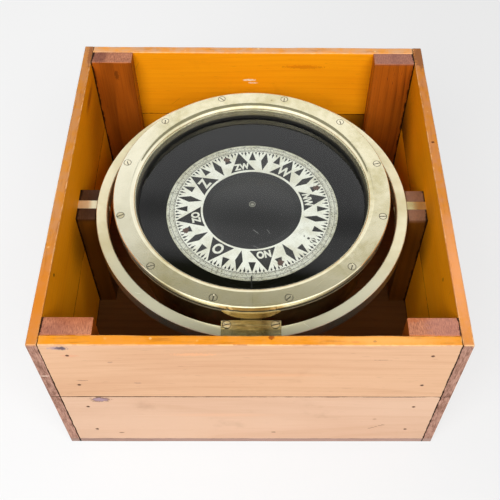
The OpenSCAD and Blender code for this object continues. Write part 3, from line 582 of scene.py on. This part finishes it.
# each board: looks inside and outside, slot, grain axis, eases of the section's corners, stain, rim,
# and which of its two long edges is a joint
boards = {}
for wall, (lowerLook, slotName, grainAxis, stain, rimTop) in walls.items():
    boards[wall + "_upper"] = ("amberPine", "palePine", slotName, grainAxis, upperEase, stain, rimTop, (0,))
    boards[wall + "_lower"] = ("amberPine", lowerLook, slotName, grainAxis, lowerEase, stain, None, (0, 1))
for end in ("front", "back"):
    boards["floor_board_" + end] = ("floorPine", "floorEdge", "floor_pine", 0, lowerEase, None, None, ())
for corner in ("front_left", "front_right", "back_left", "back_right"):
    boards["corner_block_" + corner] = ("mahogany", None, "mahogany", 2, lowerEase, None, None, ())
for number, (node, (look, outer, slotName, grainAxis, eases, stain, rimTop, edges)) in enumerate(boards.items()):
    low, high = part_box(node)
    board = faceOutwards(boardMesh("worn_" + node, low, high, grainAxis, eases, 100 + number))
    levels = [(low, high)[edge][2] for edge in edges]
    material = woodMaterial(f"{look}_{node}", look, low, high, grainAxis, 3.1 * number + 1, stain, outer, rimTop,
                            levels, boardMarks.get(node, ()))
    dress(board, material, "box", slotName, node)
postMarks = {"left_gimbal_post": [((-168, 0, 167.5), (40, 60, 6), (60, 36, 22), 0.95)],
             "right_gimbal_post": [((168, 0, 167.5), (34, 50, 6), (176, 132, 110), 0.4)]}
for number, node in enumerate(postMarks):
    low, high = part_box(node)
    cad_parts[node].material_slots[0].material = woodMaterial(
        f"postWood_{node}", "postWood", low, high, 2, 60 + 5 * number, marks=postMarks[node])
print("wooden pieces made:", len(boards) + 2)


# Brass

# bright and dull colours, the share of tarnish, roughness, metal, and whether turning lines show
brassLooks = {
    "turned": ((246, 238, 204), (194, 182, 120), 0.7, 0.13, 0.80, True),
    "ring": ((250, 242, 206), (220, 206, 154), 0.65, 0.14, 0.64, True),
    "bracket": ((186, 160, 98), (124, 94, 40), 1.0, 0.16, 0.8, False),
    "plain": ((240, 228, 184), (190, 172, 108), 0.85, 0.13, 0.8, False),
    "olive": ((206, 190, 134), (118, 96, 48), 1.0, 0.15, 0.8, False),
    "cardCap": ((176, 174, 160), (136, 134, 122), 0.9, 0.3, 0.4, False),
    "screw": ((252, 244, 214), (206, 190, 138), 0.6, 0.12, 0.8, False),
    "dark": ((150, 132, 84), (92, 76, 44), 1.0, 0.38, 0.9, False),
}


def brassSurface(surface, look, painted=None, polished=None):
    # fills in roughness, metal and fine relief, and returns the colour and the place for additions;
    # painted is a mask of the black parts, which are smooth and not metal, polished of the smoother parts
    bright, dull, amount, roughness, metal, turned = brassLooks[look]
    place = objectPlace()["Object"]
    film = useGroup(tarnishGroup, {"Vector": place, "Bright": linear(*bright), "Dull": linear(*dull),
                                   "Amount": amount})
    scratch = scratchesOn(place, *brassScratch)
    rough = plus(times(film["Dullness"], 0.1), timesPlus(scratch, 0.15, roughness))
    height = minus(times(film["Height"], 0.25), times(scratch, 0.6))
    if turned:
        part = axes(place)
        groove = joined(reach(part[0], part[1]), part[2], 0.0)
        height = timesPlus(noiseOf(groove, 1700.0, 2.0), 1.2, height)
    if polished is not None:
        rough = minus(rough, times(polished, 0.1))
        height = times(height, minus(1.0, polished))
    if painted is not None:
        bare = minus(1.0, painted)
        rough = timesPlus(painted, 0.2, rough)
        height = times(height, bare)
        metal = times(bare, metal)
    feed(surface, {"Metallic": metal, "Roughness": rough})
    bump(surface, height, 0.011 * mm)
    return film["Color"], place


def brassMaterial(name, look, recoloured=None):
    # recoloured changes the plain colour: it is given the colour and the place
    material, surface = newMaterial(name)
    colour, place = brassSurface(surface, look)
    feed(surface, {"Base Color": recoloured(colour, place) if recoloured else colour})
    return material


def ringDistance(part, count, circle):
    # the distance to the nearest of count points spaced evenly on a circle: the ring is folded into sectors
    radius, angle = reach(part[0], part[1]), calc("ARCTAN2", part[1], part[0])
    sector = 2 * math.pi / count
    folded = minus(calc("PINGPONG", angle, sector / 2), sector / 2)
    sideways = times(radius, calc("SINE", folded))
    return reach(sideways, minus(times(radius, calc("COSINE", folded)), circle))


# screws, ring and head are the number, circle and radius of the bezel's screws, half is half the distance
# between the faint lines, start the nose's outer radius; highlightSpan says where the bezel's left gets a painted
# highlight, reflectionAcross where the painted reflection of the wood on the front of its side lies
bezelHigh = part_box("bezel_ring")[1]
bezelMark = {"half": 1.3 * mm, "start": 126 * mm, "screws": 12, "ring": 137.2 * mm,
             "head": 4.0 * mm, "rim": bezelHigh[0], "top": bezelHigh[2], "low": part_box("bowl_rim")[1][2] + 0.6 * mm,
             "highlightSpan": (-80 * mm, -125 * mm), "reflectionAcross": (34 * mm, 28 * mm)}
seamShadeColour, slotColour = (56, 40, 22), (54, 40, 22)


def bezelMaterial():
    # turned brass with a polished nose, a painted highlight on its left, a fine outline round each screw, a faint
    # double line across the front, painted shade in the seam under it and an amber painted reflection of the wood on
    # the front of its side, over the bearing
    mark = bezelMark
    material, surface = newMaterial("bezelBrass")
    part = axes(objectPlace()["Object"])
    radius = reach(part[0], part[1])
    nose = fadeAt(radius, mark["start"], 0.8, -0.4)
    rim = fadeAt(radius, mark["rim"], -0.8, -0.3)
    colour = brassSurface(surface, "turned", None, most(nose, rim))[0]
    # a painted highlight on the bezel's left
    colour = tint(colour, fade(part[0], *mark["highlightSpan"], 0.0, 0.8), (252, 247, 222))
    line = times(bandAt(absolute(part[0]), mark["half"], 0.3, 0.12), fadeAt(part[1], -mark["start"], 0, -1))
    colour = tint(colour, times(line, 0.3), (90, 76, 40))
    distance = ringDistance(part, mark["screws"], mark["ring"])
    outline = bandAt(distance, mark["head"], 0.28, 0.1)
    colour = tint(colour, times(outline, 0.8), (60, 46, 28))
    # painted shade in the seam along the foot of the bezel
    seamShade = times(fadeAt(part[2], mark["low"], 1.3, 0.7), calc("GREATER_THAN", radius, mark["ring"]))
    colour = tint(colour, times(seamShade, 0.85), seamShadeColour)
    # an amber painted reflection of the wood, on the front of the bezel's side
    woodReflection = fade(absolute(part[0]), *mark["reflectionAcross"])
    woodReflection = times(woodReflection, fadeAt(part[1], -mark["rim"], 10, 5))
    woodReflection = times(woodReflection, fadeAt(part[2], mark["top"], -1.2, -2.4))
    colour = tint(colour, times(woodReflection, minus(0.7, seamShade, clamp=True)), (186, 134, 48))
    feed(surface, {"Base Color": colour})
    return material


def capScrew(colour, place):
    # bright head with a dark slot, by how far a point is below the heads' tops
    dark = fadeAt(axes(place)[2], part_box("bearing_cap_screws")[1][2], -0.12, -0.35)
    return tint(colour, times(dark, 0.9), slotColour)


def bezelScrew(colour, place):
    # the same with a dark border
    part = axes(place)
    distance = ringDistance(part, bezelMark["screws"], bezelMark["ring"])
    dark = most(fadeAt(part[2], bezelMark["top"], -0.12, -0.35), fadeAt(distance, bezelMark["head"], -0.65, -0.4))
    return tint(colour, times(dark, 0.9), slotColour)


# across and deep are the screws' places on the caps over the bowl's bearings, head their radius, and ends
# where the caps' ends turn paler
capMark = {"across": 23 * mm, "deep": 149.6 * mm, "head": 3.9 * mm, "ends": (12 * mm, 22 * mm)}


def bearingCap(colour, place):
    # stained brass of the bearing caps, with a dark outline round each screw
    part = axes(place)
    distance = reach(minus(absolute(part[0]), capMark["across"]), minus(absolute(part[1]), capMark["deep"]))
    streaks = noiseOf(stretch(place, (90.0, 420.0, 420.0)), 1.0, 4.0, 0.7)
    colour = tint(colour, fade(streaks, 0.52, 0.66, 0.0, 0.75), (232, 218, 168))
    colour = tint(colour, fade(streaks, 0.46, 0.34, 0.0, 0.6), (74, 60, 30))
    colour = tint(colour, times(fade(absolute(part[0]), *capMark["ends"]), 0.4), (240, 230, 188))
    outline = bandAt(distance, capMark["head"], 0.75, 0.35)
    colour = tint(colour, times(outline, 0.85), (52, 38, 18))
    halo = times(fadeAt(distance, capMark["head"], 2.5, 0), 0.5)
    return tint(colour, times(halo, minus(1.0, outline)), (240, 226, 176))


# the gimbal ring gets a painted highlight towards its front, and painted dark shade from just inside its outer radius
ringMark = {"highlightSpan": (-50 * mm, -125 * mm), "outer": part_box("gimbal_ring")[1][0]}


def gimbalRing(colour, place):
    # turned brass with a painted highlight towards the front and painted dark brown shade round its outer side
    part = axes(place)
    # painted highlight towards the front
    colour = tint(colour, fade(part[1], *ringMark["highlightSpan"], 0.0, 0.85), (255, 253, 226))
    # painted dark shade round the outer side
    side = fadeAt(reach(part[0], part[1]), ringMark["outer"], -0.3, -0.1)
    return tint(colour, times(side, 0.85), (58, 42, 24))


def bowlRim(colour, place):
    # turned brass with painted shade along its top edge, in the seam under the bezel
    seamShade = fadeAt(axes(place)[2], bezelMark["low"], -1.9, -1.3)
    return tint(colour, times(seamShade, 0.85), seamShadeColour)


bowlPaint = {"radius": 126.5 * mm, "floor": 86 * mm}


def bowlMaterial():
    # dull brass outside and satin black inside the wall's middle radius
    material, surface = newMaterial("bowlBrass")
    part = axes(objectPlace()["Object"])
    inside = calc("LESS_THAN", reach(part[0], part[1]), bowlPaint["radius"])
    inside = times(inside, calc("GREATER_THAN", part[2], bowlPaint["floor"]))
    colour = brassSurface(surface, "dark", inside)[0]
    feed(surface, {"Base Color": tint(colour, inside, (16, 16, 18))})
    return material


# Plain finishes: colour, second colour, roughness, metal, relief in mm and pattern scale

plainLooks = {
    "blackPaint": ((15, 15, 17), (20, 20, 22), 0.45, 0.0, 0.0, 60.0),
    "blackRubber": ((12, 12, 12), (24, 23, 22), 0.6, 0.0, 0.03, 500.0),
    "steelGrey": ((150, 150, 152), (110, 108, 106), 0.3, 1.0, 0.01, 400.0),
    "nailIron": ((72, 50, 40), (116, 78, 58), 0.65, 0.4, 0.06, 900.0),
    "dullLead": ((110, 112, 118), (140, 140, 142), 0.55, 1.0, 0.05, 200.0),
    "printInk": ((20, 20, 21), (34, 33, 32), 0.55, 0.0, 0.004, 600.0),
    "greyInk": ((46, 45, 40), (84, 80, 70), 0.6, 0.0, 0.004, 600.0),
    "whiteInk": ((232, 231, 218), (214, 212, 198), 0.55, 0.0, 0.004, 600.0),
    "redJewel": ((120, 16, 30), (90, 8, 18), 0.08, 0.0, 0.0, 100.0),
    "faintInk": ((190, 188, 174), (206, 204, 190), 0.6, 0.0, 0.0, 600.0),
    "brownInk": ((96, 72, 60), (70, 52, 46), 0.6, 0.0, 0.004, 700.0),
}


def plainMaterial(name):
    first, second, rough, metal, relief, scale = plainLooks[name]
    material, surface = newMaterial(name)
    mottle = noiseOf(objectPlace()["Object"], scale, 4.0, 0.6)
    feed(surface, {"Base Color": blendColour(fade(mottle, 0.35, 0.7), linear(*first), linear(*second)),
                   "Roughness": fade(mottle, 0.3, 0.75, rough - 0.05, rough + 0.1), "Metallic": metal,
                   "Specular IOR Level": 0.12 if name == "nailIron" else 0.5})
    if relief:
        bump(surface, mottle, relief * mm)
    return material


def floatMaterial():
    # black paint with a few pale specks and scratches
    material, surface = newMaterial("floatPaint")
    place = objectPlace()["Object"]
    colour = blendColour(noiseOf(place, 50.0, 2.0), linear(11, 11, 13), linear(18, 18, 20))
    scratch = scratchesOn(place, *floatScratch)
    speck = times(fade(cellsOf(place, 110.0)["Distance"], 0.07, 0.03), fade(noiseOf(place, 30.0, 1.0), 0.55, 0.60))
    colour = tint(colour, times(most(scratch, speck), 0.6), (150, 150, 146))
    feed(surface, {"Base Color": colour, "Roughness": 0.45})
    return material


# the card's cap: radius of its dark ring, and where its dark edge begins
cardCap = {"ring": 2.3 * mm, "edge": (3.7 * mm, 4.1 * mm)}
# the card's soft limits by radius: more freckles, a grey cast and a yellowed edge
cardZones = {"freckles": (78 * mm, 84 * mm), "grey": (82.4 * mm, 84 * mm), "yellow": (89 * mm, 91.7 * mm)}


def cardCapRings(colour, place):
    # grey stained brass with dark rings round its middle
    part = axes(place)
    radius = reach(part[0], part[1])
    dark = most(bandAt(radius, cardCap["ring"], 0.8, 0.5), fade(radius, *cardCap["edge"]))
    return tint(colour, times(dark, 0.8), (50, 50, 46))


def cardMaterial():
    # printed off-white face: light freckles, a yellowed edge and a faint grey cast
    material, surface = newMaterial("cardFace")
    place = objectPlace()["Object"]
    part = axes(place)
    radius = reach(part[0], part[1])
    colour = blendColour(fade(noiseOf(place, 60.0, 4.0), 0.4, 0.72), linear(240, 239, 227), linear(220, 217, 198))
    freckle = fade(noiseOf(place, 700.0, 2.0, 0.7), 0.54, 0.62)
    colour = tint(colour, times(freckle, fade(radius, *cardZones["freckles"], 0.15, 0.85)), (104, 98, 76))
    colour = tint(colour, fade(radius, *cardZones["grey"], 0.0, 0.3), (150, 147, 120))
    colour = tint(colour, fade(radius, *cardZones["yellow"], 0.0, 0.35), (176, 172, 132))
    feed(surface, {"Base Color": colour, "Roughness": 0.5})
    bump(surface, freckle, 0.01 * mm)
    return material


def mixShaders(share, first, second):
    return put("ShaderNodeMixShader", {0: share, 1: first.outputs[0], 2: second.outputs[0]})


def glassMaterial():
    # clear plate: straight through, a Fresnel reflection on the outer faces, and a few specks of dust
    material, surface = newMaterial("plateGlass")
    place = objectPlace()["Object"]
    clear = put("ShaderNodeBsdfTransparent", {"Color": (0.985, 0.995, 0.99, 1.0)})
    feed(surface, {"Base Color": (0.95, 0.95, 0.95, 1.0), "Metallic": 1.0, "Roughness": 0.03})
    mirror = put("ShaderNodeFresnel", {"IOR": 1.56}).outputs[0]
    outer = minus(1.0, put("ShaderNodeNewGeometry").outputs["Backfacing"])
    mixed = mixShaders(times(mirror, outer), clear, surface)
    dust = put("ShaderNodeBsdfDiffuse", {"Color": linear(225, 225, 220)})
    speck = fade(cellsOf(place, 55.0)["Distance"], 0.035, 0.015)
    speck = times(speck, fade(noiseOf(place, 40.0, 1.0), 0.56, 0.62))
    speck = times(times(speck, 0.45), outer)
    feed(work["output"], {"Surface": mixShaders(speck, mixed, dust).outputs[0]})
    return material


finishes = {name: plainMaterial(name) for name in plainLooks}
nodeFinish = {
    brassMaterial("paleBrass", "ring"): ["left_bearing_block"],
    brassMaterial("plainBrass", "plain"): ["right_bearing_block", "left_ring_trunnion", "right_ring_trunnion",
                                           "front_bowl_trunnion", "back_bowl_trunnion", "magnet_carrier"],
    brassMaterial("bearingCapBrass", "olive", bearingCap): ["front_bearing_cap", "back_bearing_cap"],
    brassMaterial("bowlRimBrass", "turned", bowlRim): ["bowl_rim"],
    brassMaterial("bezelScrewBrass", "screw", bezelScrew): ["bezel_screws"],
    brassMaterial("capScrewBrass", "screw", capScrew): ["bearing_cap_screws"],
    brassMaterial("cardCapBrass", "cardCap", cardCapRings): ["card_cap"],
    brassMaterial("darkBrass", "dark"): ["bottom_cover", "cover_flange"],
    brassMaterial("screwBrass", "screw"): ["post_screws", "ballast_screws"],
    bezelMaterial(): ["bezel_ring"],
    brassMaterial("ringBrass", "ring", gimbalRing): ["gimbal_ring"],
    brassMaterial("bracketBrass", "bracket"): ["front_trunnion_bracket", "back_trunnion_bracket"],
    bowlMaterial(): ["bowl_body", "filler_plug", "cover_screws"],
    floatMaterial(): ["float_upper_shell"],
    finishes["blackPaint"]: ["lubber_pointer", "float_lower_shell", "float_tunnel",
                             "pivot_bridge", "bridge_screws", "pivot_stem", "expansion_diaphragm"],
    finishes["blackRubber"]: ["bezel_gasket", "glass_gasket"],
    finishes["steelGrey"]: ["pivot_pin", "card_magnets"],
    finishes["nailIron"]: ["floor_nails"],
    finishes["dullLead"]: ["ballast_ring", "filler_washer"],
    finishes["printInk"]: ["card_points"],
    finishes["redJewel"]: ["cap_jewel"],
    cardMaterial(): ["card_disc"],
    glassMaterial(): ["top_glass"],
}
for material, names in nodeFinish.items():
    for name in names:
        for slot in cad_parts[name].material_slots:
            slot.material = material
print("finishes given:", sum(len(v) for v in nodeFinish.values()), "nodes")


# Nail heads in the walls

nailHead = {"radius": 1.6 * mm, "rise": 0.22 * mm, "skirt": 0.5 * mm, "sides": 20, "rings": 4, "middle": 0.15}


def circlePoints(count):
    # points on a circle of radius 1, evenly spaced
    turn = np.linspace(0, 2 * np.pi, count, endpoint=False)
    return np.stack([np.cos(turn), np.sin(turn)], -1)


def nailHeads():
    # low domes: the height falls with the square of the radius to the head's edge
    shape = nailHead
    count = shape["sides"]
    share = np.linspace(shape["middle"], 1, shape["rings"])
    radius = np.append(share, 1.0) * shape["radius"]
    height = np.append(shape["rise"] * (1 - share ** 2), -shape["skirt"])
    flat = (radius[:, None, None] * circlePoints(count)).reshape(-1, 2)
    head = np.column_stack([flat, np.repeat(height, count)])
    faces = gridFaces(len(radius), count)
    last = len(head) - count
    faces += [list(range(count))[::-1], list(range(last, last + count))]
    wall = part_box("wall_nails")[1][0]
    vertices, quads = [], []
    for face, hand in ((-1, -1), (-1, 1), (1, -1), (1, 1)):
        for level in nailPlaces["levels"]:
            front = (hand * nailPlaces["frontAcross"] * mm, face * wall, level * mm)
            side = (hand * wall, face * nailPlaces["sideAcross"] * mm, (level + nailPlaces["sideShift"]) * mm)
            for spot, turn, axis in ((front, -face * math.pi / 2, "X"), (side, hand * math.pi / 2, "Y")):
                place = Matrix.Translation(spot) @ Matrix.Rotation(turn, 4, axis)
                moved = head @ np.array(place.to_3x3()).T + np.array(place.translation)
                quads += [[i + len(vertices) * len(head) for i in f] for f in faces]
                vertices.append(moved)
    return meshFrom("wall_nail_heads", np.concatenate(vertices), quads)


dress(nailHeads(), finishes["nailIron"], "box", "iron_nails", "wall_nails")
print("nail heads made")


# Print on the card: radii and lengths are in mm, angles in degrees

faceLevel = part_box("card_disc")[1][2]
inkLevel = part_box("card_points")[1][2]
cardPrint = {"heading": -33.5, "ink": 0.05 * mm, "tickIn": 83.4, "tick": 1.5, "tick5": 2.3, "tick10": 3.2,
             "line": 0.38, "rings": (83.0, 88.2), "ringStep": 6, "numeral": 3.0, "numeralRadius": 89.8}


def cardSpot(radius, bearing):
    # a place on the card from its radius in mm and its bearing clockwise from north
    angle = np.radians(cardPrint["heading"] - np.asarray(bearing, float))
    return np.stack([np.asarray(radius) * mm * np.cos(angle), np.asarray(radius) * mm * np.sin(angle)], -1)


def prisms(name, outlines, low, high):
    # flat shapes given a thickness: each outline becomes a closed prism from low to high
    vertices, faces, first = [], [], 0
    for outline in outlines:
        outline = np.asarray(outline, float)
        area = np.sum(outline[:, 0] * np.roll(outline[:, 1], -1) - np.roll(outline[:, 0], -1) * outline[:, 1])
        outline = outline if area > 0 else outline[::-1]
        count = len(outline)
        for level in (low, high):
            vertices.append(np.column_stack([outline, np.full(count, level)]))
        bottom = np.arange(first, first + count)
        top = bottom + count
        faces += [bottom[::-1].tolist(), top.tolist()]
        after = np.roll(bottom, -1)
        faces += np.stack([bottom, after, after + count, top], -1).tolist()
        first += 2 * count
    return meshFrom(name, np.concatenate(vertices), faces, smooth=False)


def printed(name, outlines, level=faceLevel):
    return prisms(name, outlines, level, level + cardPrint["ink"])


def radialBar(bearing, inside, outside, width):
    # a bar along the radius
    turn = math.degrees(width / (inside + outside))
    return cardSpot([inside, outside, outside, inside], bearing + turn * np.array([-1, -1, 1, 1]))


def dart(bearing, inside, outside, width):
    # a slim teardrop, pointed at both ends and widest two thirds of the way out
    share = np.array([0, 0.25, 0.5, 0.68, 0.85, 1.0])
    half = np.array([0.12, 0.3, 0.72, 1.0, 0.62, 0.06])
    turn = math.degrees(width / (inside + outside)) * np.concatenate([half, -half[::-1]])
    radius = inside + (outside - inside) * np.concatenate([share, share[::-1]])
    return cardSpot(radius, bearing + turn)


def textParts(body, size, width, thick, bold=0.0):
    # a word as mesh points about its own middle: x to the right, y up, and its faces
    curve = bpy.data.curves.new("word", "FONT")
    curve.body = body
    curve.align_x = "CENTER"
    curve.align_y = "CENTER"
    curve.size = size
    curve.extrude = thick / 2
    curve.offset = bold
    curve.resolution_u = 3
    word = bpy.data.objects.new("word", curve)
    scene.collection.objects.link(word)
    mesh = word.evaluated_get(bpy.context.evaluated_depsgraph_get()).to_mesh()
    points = np.empty(len(mesh.vertices) * 3)
    mesh.vertices.foreach_get("co", points)
    points = points.reshape(-1, 3) * np.array([width, 1, 1])
    faces = [list(p.vertices) for p in mesh.polygons]
    points[:, :2] -= (points[:, :2].min(0) + points[:, :2].max(0)) / 2
    bpy.data.objects.remove(word)
    bpy.data.curves.remove(curve)
    return points, faces


def wordsOnCard(name, words, base):
    # each word: text, radius of its middle, bearing, height, width factor and boldness; tops point outwards
    vertices, faces, first = [], [], 0
    for body, radius, bearing, size, width, bold in words:
        points, polygons = textParts(body, size, width, cardPrint["ink"], bold)
        angle = math.radians(cardPrint["heading"] - bearing)
        outward = np.array([math.cos(angle), math.sin(angle)])
        across = np.array([outward[1], -outward[0]])
        flat = cardSpot(radius, bearing) + points[:, :1] * across + points[:, 1:2] * outward
        vertices.append(np.column_stack([flat, points[:, 2] + base]))
        faces += [[i + first for i in f] for f in polygons]
        first += len(points)
    return meshFrom(name, np.concatenate(vertices), faces, smooth=False)


def cardTicks():
    marks = []
    for degree in range(360):
        length = cardPrint["tick10" if degree % 10 == 0 else "tick5" if degree % 5 == 0 else "tick"]
        marks.append(radialBar(degree, cardPrint["tickIn"], cardPrint["tickIn"] + length, cardPrint["line"]))
    step = cardPrint["ringStep"]
    for ring in cardPrint["rings"]:
        for start in range(0, 360, step):
            bearings = np.arange(start, start + step + 1)
            outer = cardSpot(np.full(step + 1, ring + cardPrint["line"]), bearings[::-1])
            marks.append(np.concatenate([cardSpot(np.full(step + 1, ring), bearings), outer]))
    return printed("card_degree_scale", marks)


# bearing from the middle between two points, inner and outer radius and width
dartShapes = ((0, 75.6, 82.4, 2.3), (-2.8, 78.2, 82.3, 2.1), (2.8, 78.2, 82.3, 2.1))


def cardDarts():
    # between neighbouring points three darts, and none over the points themselves
    middles = [11.25 * point + 5.625 for point in range(32)]
    return printed("card_darts", [dart(middle + bearing, *rest) for middle in middles
                                  for bearing, *rest in dartShapes])


# the leaves' inner radius, length, bearing of their tips and how far each edge bulges; the dots' radius on
# the card and own radius
northShape = {"lozenge": ([73.5, 77.0, 81.5, 77.0], [0, -0.9, 0, 0.9]), "leaf": (72.5, 5.5, 0.6),
              "bulges": (2.1, 1.2), "dots": ((70.6, 1.5), (65.4, 0.8))}


def northMark():
    # a plain traditional mark for north: a slim lozenge between two leaves, over two dots
    share = np.linspace(0, 1, 9)
    start, length, tip = northShape["leaf"]
    shapes = [cardSpot(*northShape["lozenge"])]
    for hand in (-1, 1):
        outer, inner = (cardSpot(start + length * share, hand * (tip + bulge * np.sin(np.pi * share * 0.85)))
                        for bulge in northShape["bulges"])
        shapes.append(np.concatenate([outer, inner[::-1]]))
    for radius, size in northShape["dots"]:
        shapes.append(cardSpot(radius, 0) + size * mm * circlePoints(16))
    return printed("card_north_mark", shapes)


patch = {"bearings": (33.75, 123.75, 213.75, 303.75), "radius": 75.5, "size": 3.4 * mm, "ragged": 0.3, "sides": 24}


def brownPatches():
    # four ragged brown patches over points of the card
    generator = np.random.default_rng(7)
    shapes = []
    for bearing in patch["bearings"]:
        size = patch["size"] * (1 + patch["ragged"] * generator.uniform(-1, 1, patch["sides"]))
        shapes.append(cardSpot(patch["radius"], bearing) + size[:, None] * circlePoints(patch["sides"]))
    return printed("card_patches", shapes, inkLevel)


# short pale strokes where the north point would be: bearings, inner and outer radius and width
hatch = {"bearings": (-6, -4.2, -2.4, -0.6), "stroke": (57, 62, 0.4)}
# body, radius of its middle and bearing; singleSize and doubleSize are the heights of one letter and two
letters = [("NO", 61.0, 45), ("O", 63.2, 90), ("ZO", 61.0, 135), ("Z", 63.2, 180), ("ZW", 61.0, 225),
           ("W", 63.2, 270), ("NW", 61.0, 315)]
letterShape = {"singleSize": 17.5, "doubleSize": 11.8, "width": 0.80, "bold": 0.6 * mm}
letterWords = [(body, radius, bearing, letterShape["doubleSize" if len(body) > 1 else "singleSize"] * mm,
                letterShape["width"], letterShape["bold"]) for body, radius, bearing in letters]
numerals = [(str(degree), cardPrint["numeralRadius"], degree, cardPrint["numeral"] * mm, 0.85, 0.0)
            for degree in range(10, 361, 10)]
raised = cardPrint["ink"] / 2
for thing, ink, slotName in (
        (wordsOnCard("card_letters", letterWords, inkLevel + raised), "whiteInk", "card_white"),
        (wordsOnCard("card_numerals", numerals, faceLevel + raised), "greyInk", "ink"),
        (cardTicks(), "greyInk", "ink"),
        (cardDarts(), "printInk", "ink"),
        (northMark(), "greyInk", "ink"),
        (brownPatches(), "brownInk", "ink"),
        (printed("card_hatch", [radialBar(b, *hatch["stroke"]) for b in hatch["bearings"]]), "faintInk", "ink")):
    dress(thing, finishes[ink], "card", slotName)
print("card printed")


# Camera at the photograph's angle; the pixel values are those of the 500 by 500 frame

cameraView = {"focal": 784.4, "yaw": 0.98, "pitch": 53.41, "roll": 0.98, "place": (6.6, -521.6, 820.3),
              "axisPixel": (266.4, 233.0), "size": 500, "sensor": 36.0, "clip": (0.01, 50)}


def makeCamera():
    view = cameraView
    yaw, pitch, roll = (math.radians(view[k]) for k in ("yaw", "pitch", "roll"))
    ahead = Vector((math.sin(yaw) * math.cos(pitch), math.cos(yaw) * math.cos(pitch), -math.sin(pitch)))
    level = Vector((math.cos(yaw), -math.sin(yaw), 0))
    upright = level.cross(ahead)
    right = math.cos(roll) * level + math.sin(roll) * upright
    up = -math.sin(roll) * level + math.cos(roll) * upright
    data = bpy.data.cameras.new("camera")
    data.sensor_width = view["sensor"]
    data.lens = view["focal"] * view["sensor"] / view["size"]
    data.shift_x = (view["size"] / 2 - view["axisPixel"][0]) / view["size"]
    data.shift_y = (view["axisPixel"][1] - view["size"] / 2) / view["size"]
    data.clip_start, data.clip_end = view["clip"]
    camera = bpy.data.objects.new("camera", data)
    turned = Matrix((right, up, -ahead)).transposed().to_4x4()
    camera.matrix_world = Matrix.Translation(Vector(view["place"]) * mm) @ turned
    scene.collection.objects.link(camera)
    scene.camera = camera


# Studio: pale floor, soft lamps, and a room that metal and glass reflect

# paper is where the floor's painted left and right light levels meet, the left brighter; window and wall are limits
# of the aim's sideways part, windowTop the angles at which the windows end, slant the bands' tilt to the side
studio = {"floor": linear(238, 238, 238), "floorSize": 6.0, "floorDrop": 0.3 * mm, "sky": 0.17, "background": 0.93,
          "floorLeft": 0.955, "floorRight": 0.865, "paper": (-0.3, 0.35), "glow": 0.8, "slant": 0.117,
          "window": (0.16, 0.19), "windowTop": (55.8, 55.2), "windowTone": 0.94, "wall": (0.55, 0.75)}
# what metal and glass reflect, by the angle from the horizon behind the object, over it, to the front:
# angle, level and the share of blue
roomLevels = [(0, 1.0, 1), (30, 1.04, 1), (47, 1.02, 1), (50.6, 0.88, 1), (52.6, 0.36, 1), (52.9, 0.8, 1),
              (55.4, 0.88, 1), (55.8, 0.1, 0.5), (103, 0.1, 0.5), (114, 1.0, 1), (126, 1.6, 1), (150, 1.6, 1),
              (165, 1.1, 1), (180, 0.9, 1)]


def grey(level):
    return (level, level, level, 1)


def makeFloor():
    half, level = studio["floorSize"] / 2, -studio["floorDrop"]
    corners = [(-half, -half, level), (half, -half, level), (half, half, level), (-half, half, level)]
    floor = meshFrom("studio_floor", corners, [[0, 1, 2, 3]], smooth=False)
    material, surface = newMaterial("paleFloor")
    feed(surface, {"Base Color": studio["floor"], "Roughness": 0.9, "Specular IOR Level": 0.1})
    across = axes(objectPlace()["Object"])[0]
    # the floor's glow for the camera is painted light, brighter on the left than on the right
    paper = blendColour(fade(across, *studio["paper"]), grey(studio["floorLeft"]), grey(studio["floorRight"]))
    glow = put("ShaderNodeEmission", {"Color": paper, "Strength": 1.0})
    seen = times(put("ShaderNodeLightPath").outputs["Is Camera Ray"], studio["glow"])
    feed(work["output"], {"Surface": mixShaders(seen, surface, glow).outputs[0]})
    floor.data.materials.append(material)


def makeWorld():
    # an even sky for diffuse light; glossy and transmission rays see a pale room with a dark ceiling and
    # a lamp in front, in bands that tilt a little to the side
    world = bpy.data.worlds.new("room")
    world.use_nodes = True
    scene.world = world
    work["tree"] = world.node_tree
    work["tree"].nodes.clear()
    aim = axes(objectPlace()["Generated"])
    ahead = timesPlus(aim[0], studio["slant"], aim[1])
    angle = calc("ARCTAN2", most(aim[2], 0.0), ahead)
    ramp = put("ShaderNodeValToRGB", {"Fac": divide(angle, math.pi)})
    stops = ramp.color_ramp.elements
    while len(stops) < len(roomLevels):
        stops.new(0.5)
    for stop, (degrees, level, blue) in zip(stops, roomLevels):
        stop.position = degrees / 180
    for stop, (degrees, level, blue) in zip(stops, roomLevels):
        stop.color = (level, level, level * blue, 1)
    sideways = absolute(aim[0])
    windows = fade(sideways, *studio["window"])
    windows = times(windows, fade(angle, *[math.radians(a) for a in studio["windowTop"]]))
    room = blendColour(windows, ramp.outputs["Color"], grey(studio["windowTone"]))
    room = blendColour(fade(sideways, *studio["wall"]), room, grey(1.0))
    path = put("ShaderNodeLightPath").outputs
    seen = most(path["Is Glossy Ray"], path["Is Transmission Ray"])
    colour = blendColour(seen, grey(studio["sky"]), room)
    colour = blendColour(path["Is Camera Ray"], colour, grey(studio["background"]))
    shader = put("ShaderNodeBackground", {"Color": colour, "Strength": 1.0})
    put("ShaderNodeOutputWorld", {"Surface": shader.outputs[0]})


# place, and power in watts
lamps = {"keyLamp": ((-0.75, -1.3, 1.8), 35.0), "fillLamp": ((0.75, -1.25, 1.8), 31.0)}
lampSize = 1.1


def makeLamps():
    target = (cadLow + cadHigh) / 2
    for name, (place, power) in lamps.items():
        data = bpy.data.lights.new(name, "AREA")
        data.shape = "SQUARE"
        data.size = lampSize
        data.energy = power
        thing = bpy.data.objects.new(name, data)
        thing.location = place
        thing.rotation_mode = "QUATERNION"
        thing.rotation_quaternion = (target - Vector(place)).to_track_quat("-Z", "Y")
        thing.visible_glossy = False
        scene.collection.objects.link(thing)


makeCamera()
makeFloor()
makeWorld()
makeLamps()
print("studio made")
